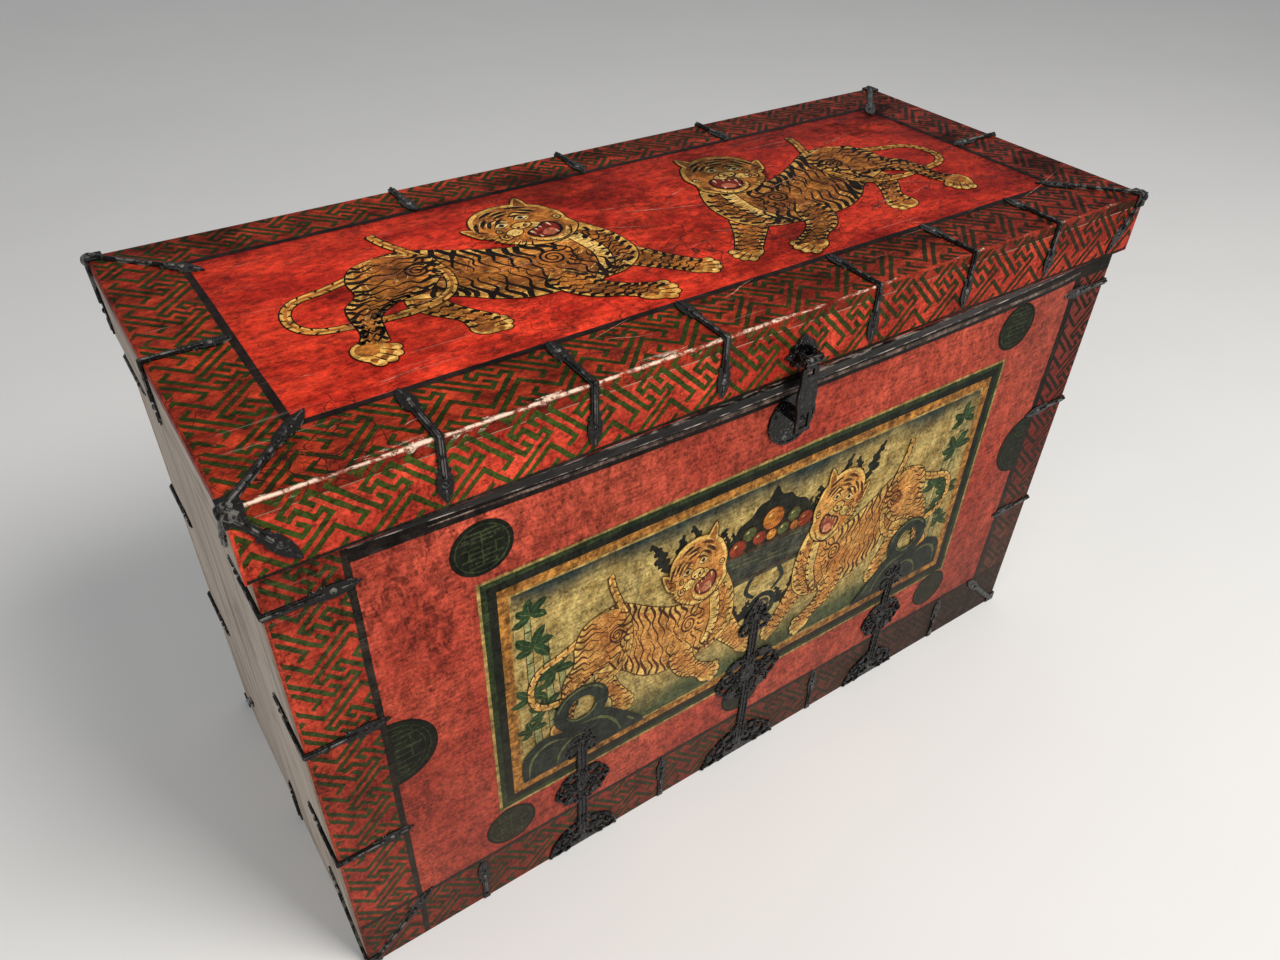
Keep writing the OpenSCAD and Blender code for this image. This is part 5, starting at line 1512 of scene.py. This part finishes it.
def smoke(layer, stem, side, size):
    """Branching smoke to one side: swaying branches on a swelling stem."""
    sway = ((0, 0), (24, -4), (48, 8), (74, 4), (96, 16))
    ridge = [(stem[0] + side * du * size, stem[1] + dv * size) for du, dv in sway]
    layer.stroke(ridge, [10 * size, 17 * size, 14 * size, 15 * size, 9 * size], 30)
    for part, reach, lean in ((0.2, 34, -10), (0.46, 52, 14), (0.74, 46, -4), (1.0, 40, 16)):
        branch(layer, between(ridge, part), reach * size, lean * side * size, 11.5 * size)
    for part, reach, lean in ((0.3, -22, 8), (0.66, -26, -8)):
        branch(layer, between(ridge, part), reach * size, lean * side * size, 9.5 * size)


def from_middle(*points):
    """Places given by how far right of the picture's middle they lie, and their height."""
    return [(MIDDLE + u, v) for u, v in points]


lay = picture_layers(
    "offering", 0.2,
    "scroll", "teal", "bowl", "moss", "fruit_green", "fruit_red", "fruit_gold", "pale", "brown",
)
for side in (-1, 1):
    smoke(lay["scroll"], (MIDDLE + side * 60, 416), side, 1.0)
    smoke(lay["scroll"], (MIDDLE + side * 14, 286), side, 0.72)
flame_side = [(72, 396), (70, 412), (58, 424), (50, 438), (34, 446), (24, 458), (10, 462)]
flame = [(-u, v) for u, v in flame_side] + [(0, 478)] + flame_side[::-1]
lay["scroll"].shape(smooth(from_middle(*flame), steps=4))
for side in (-1, 1):
    for k in range(3):
        branch(lay["scroll"], (MIDDLE + side * (54 + k * 9), 402 + k * 3), 34 - k * 4, side * 6, 7.5)
lay["bowl"].shape(from_middle(
    (-84, 396), (84, 396), (78, 382), (68, 360), (60, 352), (62, 344), (-62, 344), (-60, 352), (-68, 360),
    (-78, 382),
))
lay["brown"].stroke(from_middle((-84, 395), (0, 393), (84, 395)), [2.0, 2.4, 2.0])
lay["teal"].stroke(from_middle((-74, 378), (0, 374), (74, 378)), [1.4, 2.0, 1.4])
lay["brown"].stroke(from_middle((-60, 352), (0, 350), (60, 352)), [1.6, 2.0, 1.6])
for k in range(24):
    u, v = MIDDLE + (k * 37 % 120) - 62, 358 + (k * 23 % 34)
    lay["moss"].stroke([(u - 9, v), (u, v + 0.8), (u + 12, v)], [0.3, 1.1, 0.3], 4)
for use, fruits in {
    "fruit_red": ((-50, 406, 12), (52, 405, 12), (-18, 408, 10)),
    "fruit_green": ((-34, 421, 10), (33, 421, 10), (18, 406, 9)),
    "fruit_gold": ((0, 430, 16), (36, 403, 7), (0, 405, 8)),
}.items():
    for right, v, r in fruits:
        u = MIDDLE + right
        lay[use].dot((u, v), r, 20)
        lay["brown"].ring((u, v), r, 1.3, steps=24)
        lay["pale"].stroke([(u - r * 0.5, v + r * 0.25), (u - r * 0.1, v + r * 0.55)], [0.8, 2.4, 0.8], 4)
for side in (-1, 1):
    for k in range(4):
        u = MIDDLE + side * (84 + k * 5)
        lay["pale"].stroke([(u, 398), (u + side * 3, 420), (u - side * 3, 444 - k * 5)], [2.6, 3.6, 0.6], 10)
    lay["teal"].stroke(from_middle((side * 20, 346), (side * 28, 324), (side * 14, 308)), [6.0, 7.0, 4.0], 10)
lay["teal"].ring((MIDDLE, 286), 20, 8.0, steps=40)
lay["bowl"].ring((MIDDLE, 286), 11, 5.0, steps=30)
for layer in lay.values():
    layer.finish()

# %% [markdown]
# Bamboo stalks are pale with dark joints. Its leaves hang in fans. The rocks are hollow arches,
# outlined lighter on the side of the light, as such painted rocks are.

# %% Bamboo and rocks
def leaf_fan(lay, centre, size, turn, rng):
    """Five broad leaves that spread from one point, each with a light rib."""
    for k in range(5):
        a = math.radians(turn + (k - 2) * 58 + rng.uniform(-9, 9))
        b = a + 0.16
        reach = size * rng.uniform(0.8, 1.1)
        tip = (centre[0] + math.cos(a) * reach, centre[1] + math.sin(a) * reach)
        bend = (centre[0] + math.cos(b) * reach * 0.55, centre[1] + math.sin(b) * reach * 0.55)
        lay["leaf"].stroke([centre, bend, tip], [2.4, size * 0.46, size * 0.42, 0.4], 9)
        lay["moss"].stroke([centre, bend, tip], [0.4, 1.0, 0.3], 7)


def bamboo(lay, foot, top, rng, joints=6):
    """A pale stalk with a dark outline and dark joints."""
    path = [foot, ((foot[0] + top[0]) / 2 + rng.uniform(-3, 3), (foot[1] + top[1]) / 2), top]
    lay["brown"].stroke(path, [10.6, 9.6, 8.0], 16)
    lay["stalk"].stroke(path, [8.8, 7.8, 6.2], 16)
    for k in range(1, joints):
        u, v = between(smooth(path), k / joints)
        lay["leaf"].stroke([(u - 4.4, v + 0.6), (u + 4.4, v + 0.6)], [1.2, 2.0, 1.2])


def rock(lay, place, size, side):
    """A hollow arch with a foot, and its light edge."""
    def at(points):
        return [(place[0] + side * u * size, place[1] + v * size) for u, v in points]

    foot = [(-62, -16), (-60, 18), (-40, 34), (-18, 30), (2, 40), (28, 34), (48, 16), (66, -4), (74, -16)]
    hollow = (place[0] + side * 2 * size, place[1] + 52 * size)
    lay["teal"].shape(smooth(at(foot), steps=5))
    lay["teal"].ring(hollow, 22 * size, 15 * size, steps=44)
    for path, wide in (
        ([(-56, -14), (-52, 12), (-34, 24), (-16, 18)], 3.4),
        ([(0, 28), (22, 24), (38, 8), (46, -12)], 3.4),
        ([(-26, -14), (-22, 2), (-8, 14), (8, 12)], 2.8),
        ([(52, 4), (62, -8)], 2.4),
    ):
        lay["moss"].stroke(at(path), [0.6, wide * size, wide * size, 0.6], 14)
    lay["moss"].ring(hollow, 26 * size, 2.6 * size, (0.08, 0.46), 24)
    lay["moss"].ring(hollow, 16.5 * size, 2.0 * size, (0.55, 0.95), 20)


# Each fan: how far in from the picture's end, its height, its size and its turn in degrees
LEAF_FANS = (
    (20, 452, 24, 90), (22, 404, 27, 70), (44, 352, 27, 110), (16, 330, 24, 80), (34, 300, 24, 95),
    (60, 290, 20, 60), (14, 274, 20, 100),
)
lay = picture_layers("grove", 0.2, "brown", "stalk", "leaf", "moss")
rocks = picture_layers("rocks", 1.95, "teal", "moss")
rng = random.Random(21)
for side in (-1, 1):
    edge = IN_LOW[0] if side < 0 else IN_HIGH[0]
    for inward, top in ((16, 462), (34, 420), (52, 372)):
        bamboo(lay, (edge - side * (inward + 8), 206), (edge - side * inward, top), rng)
    for inward, v, size, turn in LEAF_FANS:
        leaf_fan(lay, (edge - side * inward, v), size, turn if side < 0 else 180 - turn, rng)
    rock(rocks, (edge - side * 74, IN_LOW[1] + 19), 1.22, -side)
for k in range(70):
    u = rng.uniform(IN_LOW[0] + 8, IN_HIGH[0] - 8)
    v = rng.uniform(IN_LOW[1] + 4, IN_LOW[1] + 34)
    lay["moss"].stroke([(u, v), (u + 1, v + 4), (u + rng.uniform(-3, 3), v + 9)], [1.6, 1.0, 0.2], 4)
for layer in list(lay.values()) + list(rocks.values()):
    layer.finish()

# %% Cats of the picture
PICTURE_COLOURS = {
    "edge": paint("cat_front_edge", "front", seen(224, 186, 104), seen(204, 160, 80), 40.0),
    "coat": paint("cat_front_coat", "front", seen(216, 156, 82), seen(186, 118, 56), 26.0),
    "fur": paint("cat_front_fur", "front", seen(140, 82, 38), seen(164, 104, 46), 60.0),
    "light": paint("cat_front_light", "front", seen(228, 192, 112), seen(208, 166, 88), 60.0),
    "stripe": paint("cat_front_stripe", "front", seen(74, 42, 26), seen(98, 58, 32), 60.0),
    "red": paint("cat_front_red", "front", seen(146, 72, 50)),
    "pink": paint("cat_front_pink", "front", seen(190, 122, 88)),
    "white": paint("cat_front_white", "front", seen(214, 184, 116)),
    "dark": paint("cat_front_dark", "front", seen(58, 30, 22)),
}
PICTURE_COLOURS["under"], PICTURE_COLOURS["tooth"] = PICTURE_COLOURS["stripe"], PICTURE_COLOURS["white"]
FRONT_CAT_UNIT = 0.56
front_cats = CatPaints("front_cat", FRONT, 0.62, PICTURE_COLOURS, 0.66)
draw_cat(front_cats, (MIDDLE - 166, 330), FRONT_CAT_UNIT, False, 31, 1.24)
draw_cat(front_cats, (MIDDLE + 166, 330), FRONT_CAT_UNIT, True, 32, 1.24)
front_cats.finish()

# %% [markdown]
# ## Camera, floor and light
# The camera was worked out from the trunk's own edges in the photograph. The floor is plain
# and pale. One wide lamp stands high in front, to the right, a weaker one on the left, and the
# world fills the shadows.

# %% Camera
CAMERA_PLACE = (-0.6116, -0.8219, 1.1582)
# Degrees about X, Y and Z
CAMERA_TURN = Euler([math.radians(angle) for angle in (51.2003, -1.5414, -34.4114)])
eye = bpy.data.cameras.new("camera")
eye.lens = 27.468
eye.sensor_width = 36.0
camera = bpy.data.objects.new("camera", eye)
bpy.context.scene.collection.objects.link(camera)
camera.matrix_world = Matrix.Translation(CAMERA_PLACE) @ CAMERA_TURN.to_matrix().to_4x4()
bpy.context.scene.camera = camera
print("camera lens", eye.lens, "mm")

# %% Floor, world and lamps
def floor_finish():
    """A pale, nearly even floor."""
    f = Finish("floor_pale")
    return f.done(f.mix(f.noise(2.0, 3.0), (0.78, 0.77, 0.75, 1.0), (0.83, 0.82, 0.8, 1.0)), 0.7)


bm = bmesh.new()
bmesh.ops.create_grid(bm, x_segments=1, y_segments=1, size=12.0)
mesh = bpy.data.meshes.new("floor")
bm.to_mesh(mesh)
bm.free()
floor = bpy.data.objects.new("floor", mesh)
bpy.context.scene.collection.objects.link(floor)
mesh.materials.append(floor_finish())

world = bpy.data.worlds.new("soft_room")
bpy.context.scene.world = world
world.use_nodes = True
sky = world.node_tree.nodes["Background"]
sky.inputs["Color"].default_value = (0.95, 0.97, 1.0, 1.0)
sky.inputs["Strength"].default_value = 0.36
TRUNK_MIDDLE = Vector((0, 0, 0.4))


def lamp(name, place, size, power, colour):
    """A square lamp that points at the trunk's middle."""
    light = bpy.data.lights.new(name, "AREA")
    light.energy, light.size, light.color = power, size, colour
    piece = bpy.data.objects.new(name, light)
    bpy.context.scene.collection.objects.link(piece)
    piece.location = place
    piece.rotation_euler = (TRUNK_MIDDLE - Vector(place)).to_track_quat("-Z", "Y").to_euler()


lamp("front_lamp", (1.0, -2.2, 3.6), 1.6, 135.0, (1.0, 0.98, 0.95))
lamp("left_lamp", (-3.0, -1.6, 2.2), 1.4, 22.0, (0.97, 0.98, 1.0))
bpy.context.scene.view_settings.view_transform = "Standard"
print("world strength", round(sky.inputs["Strength"].default_value, 2))
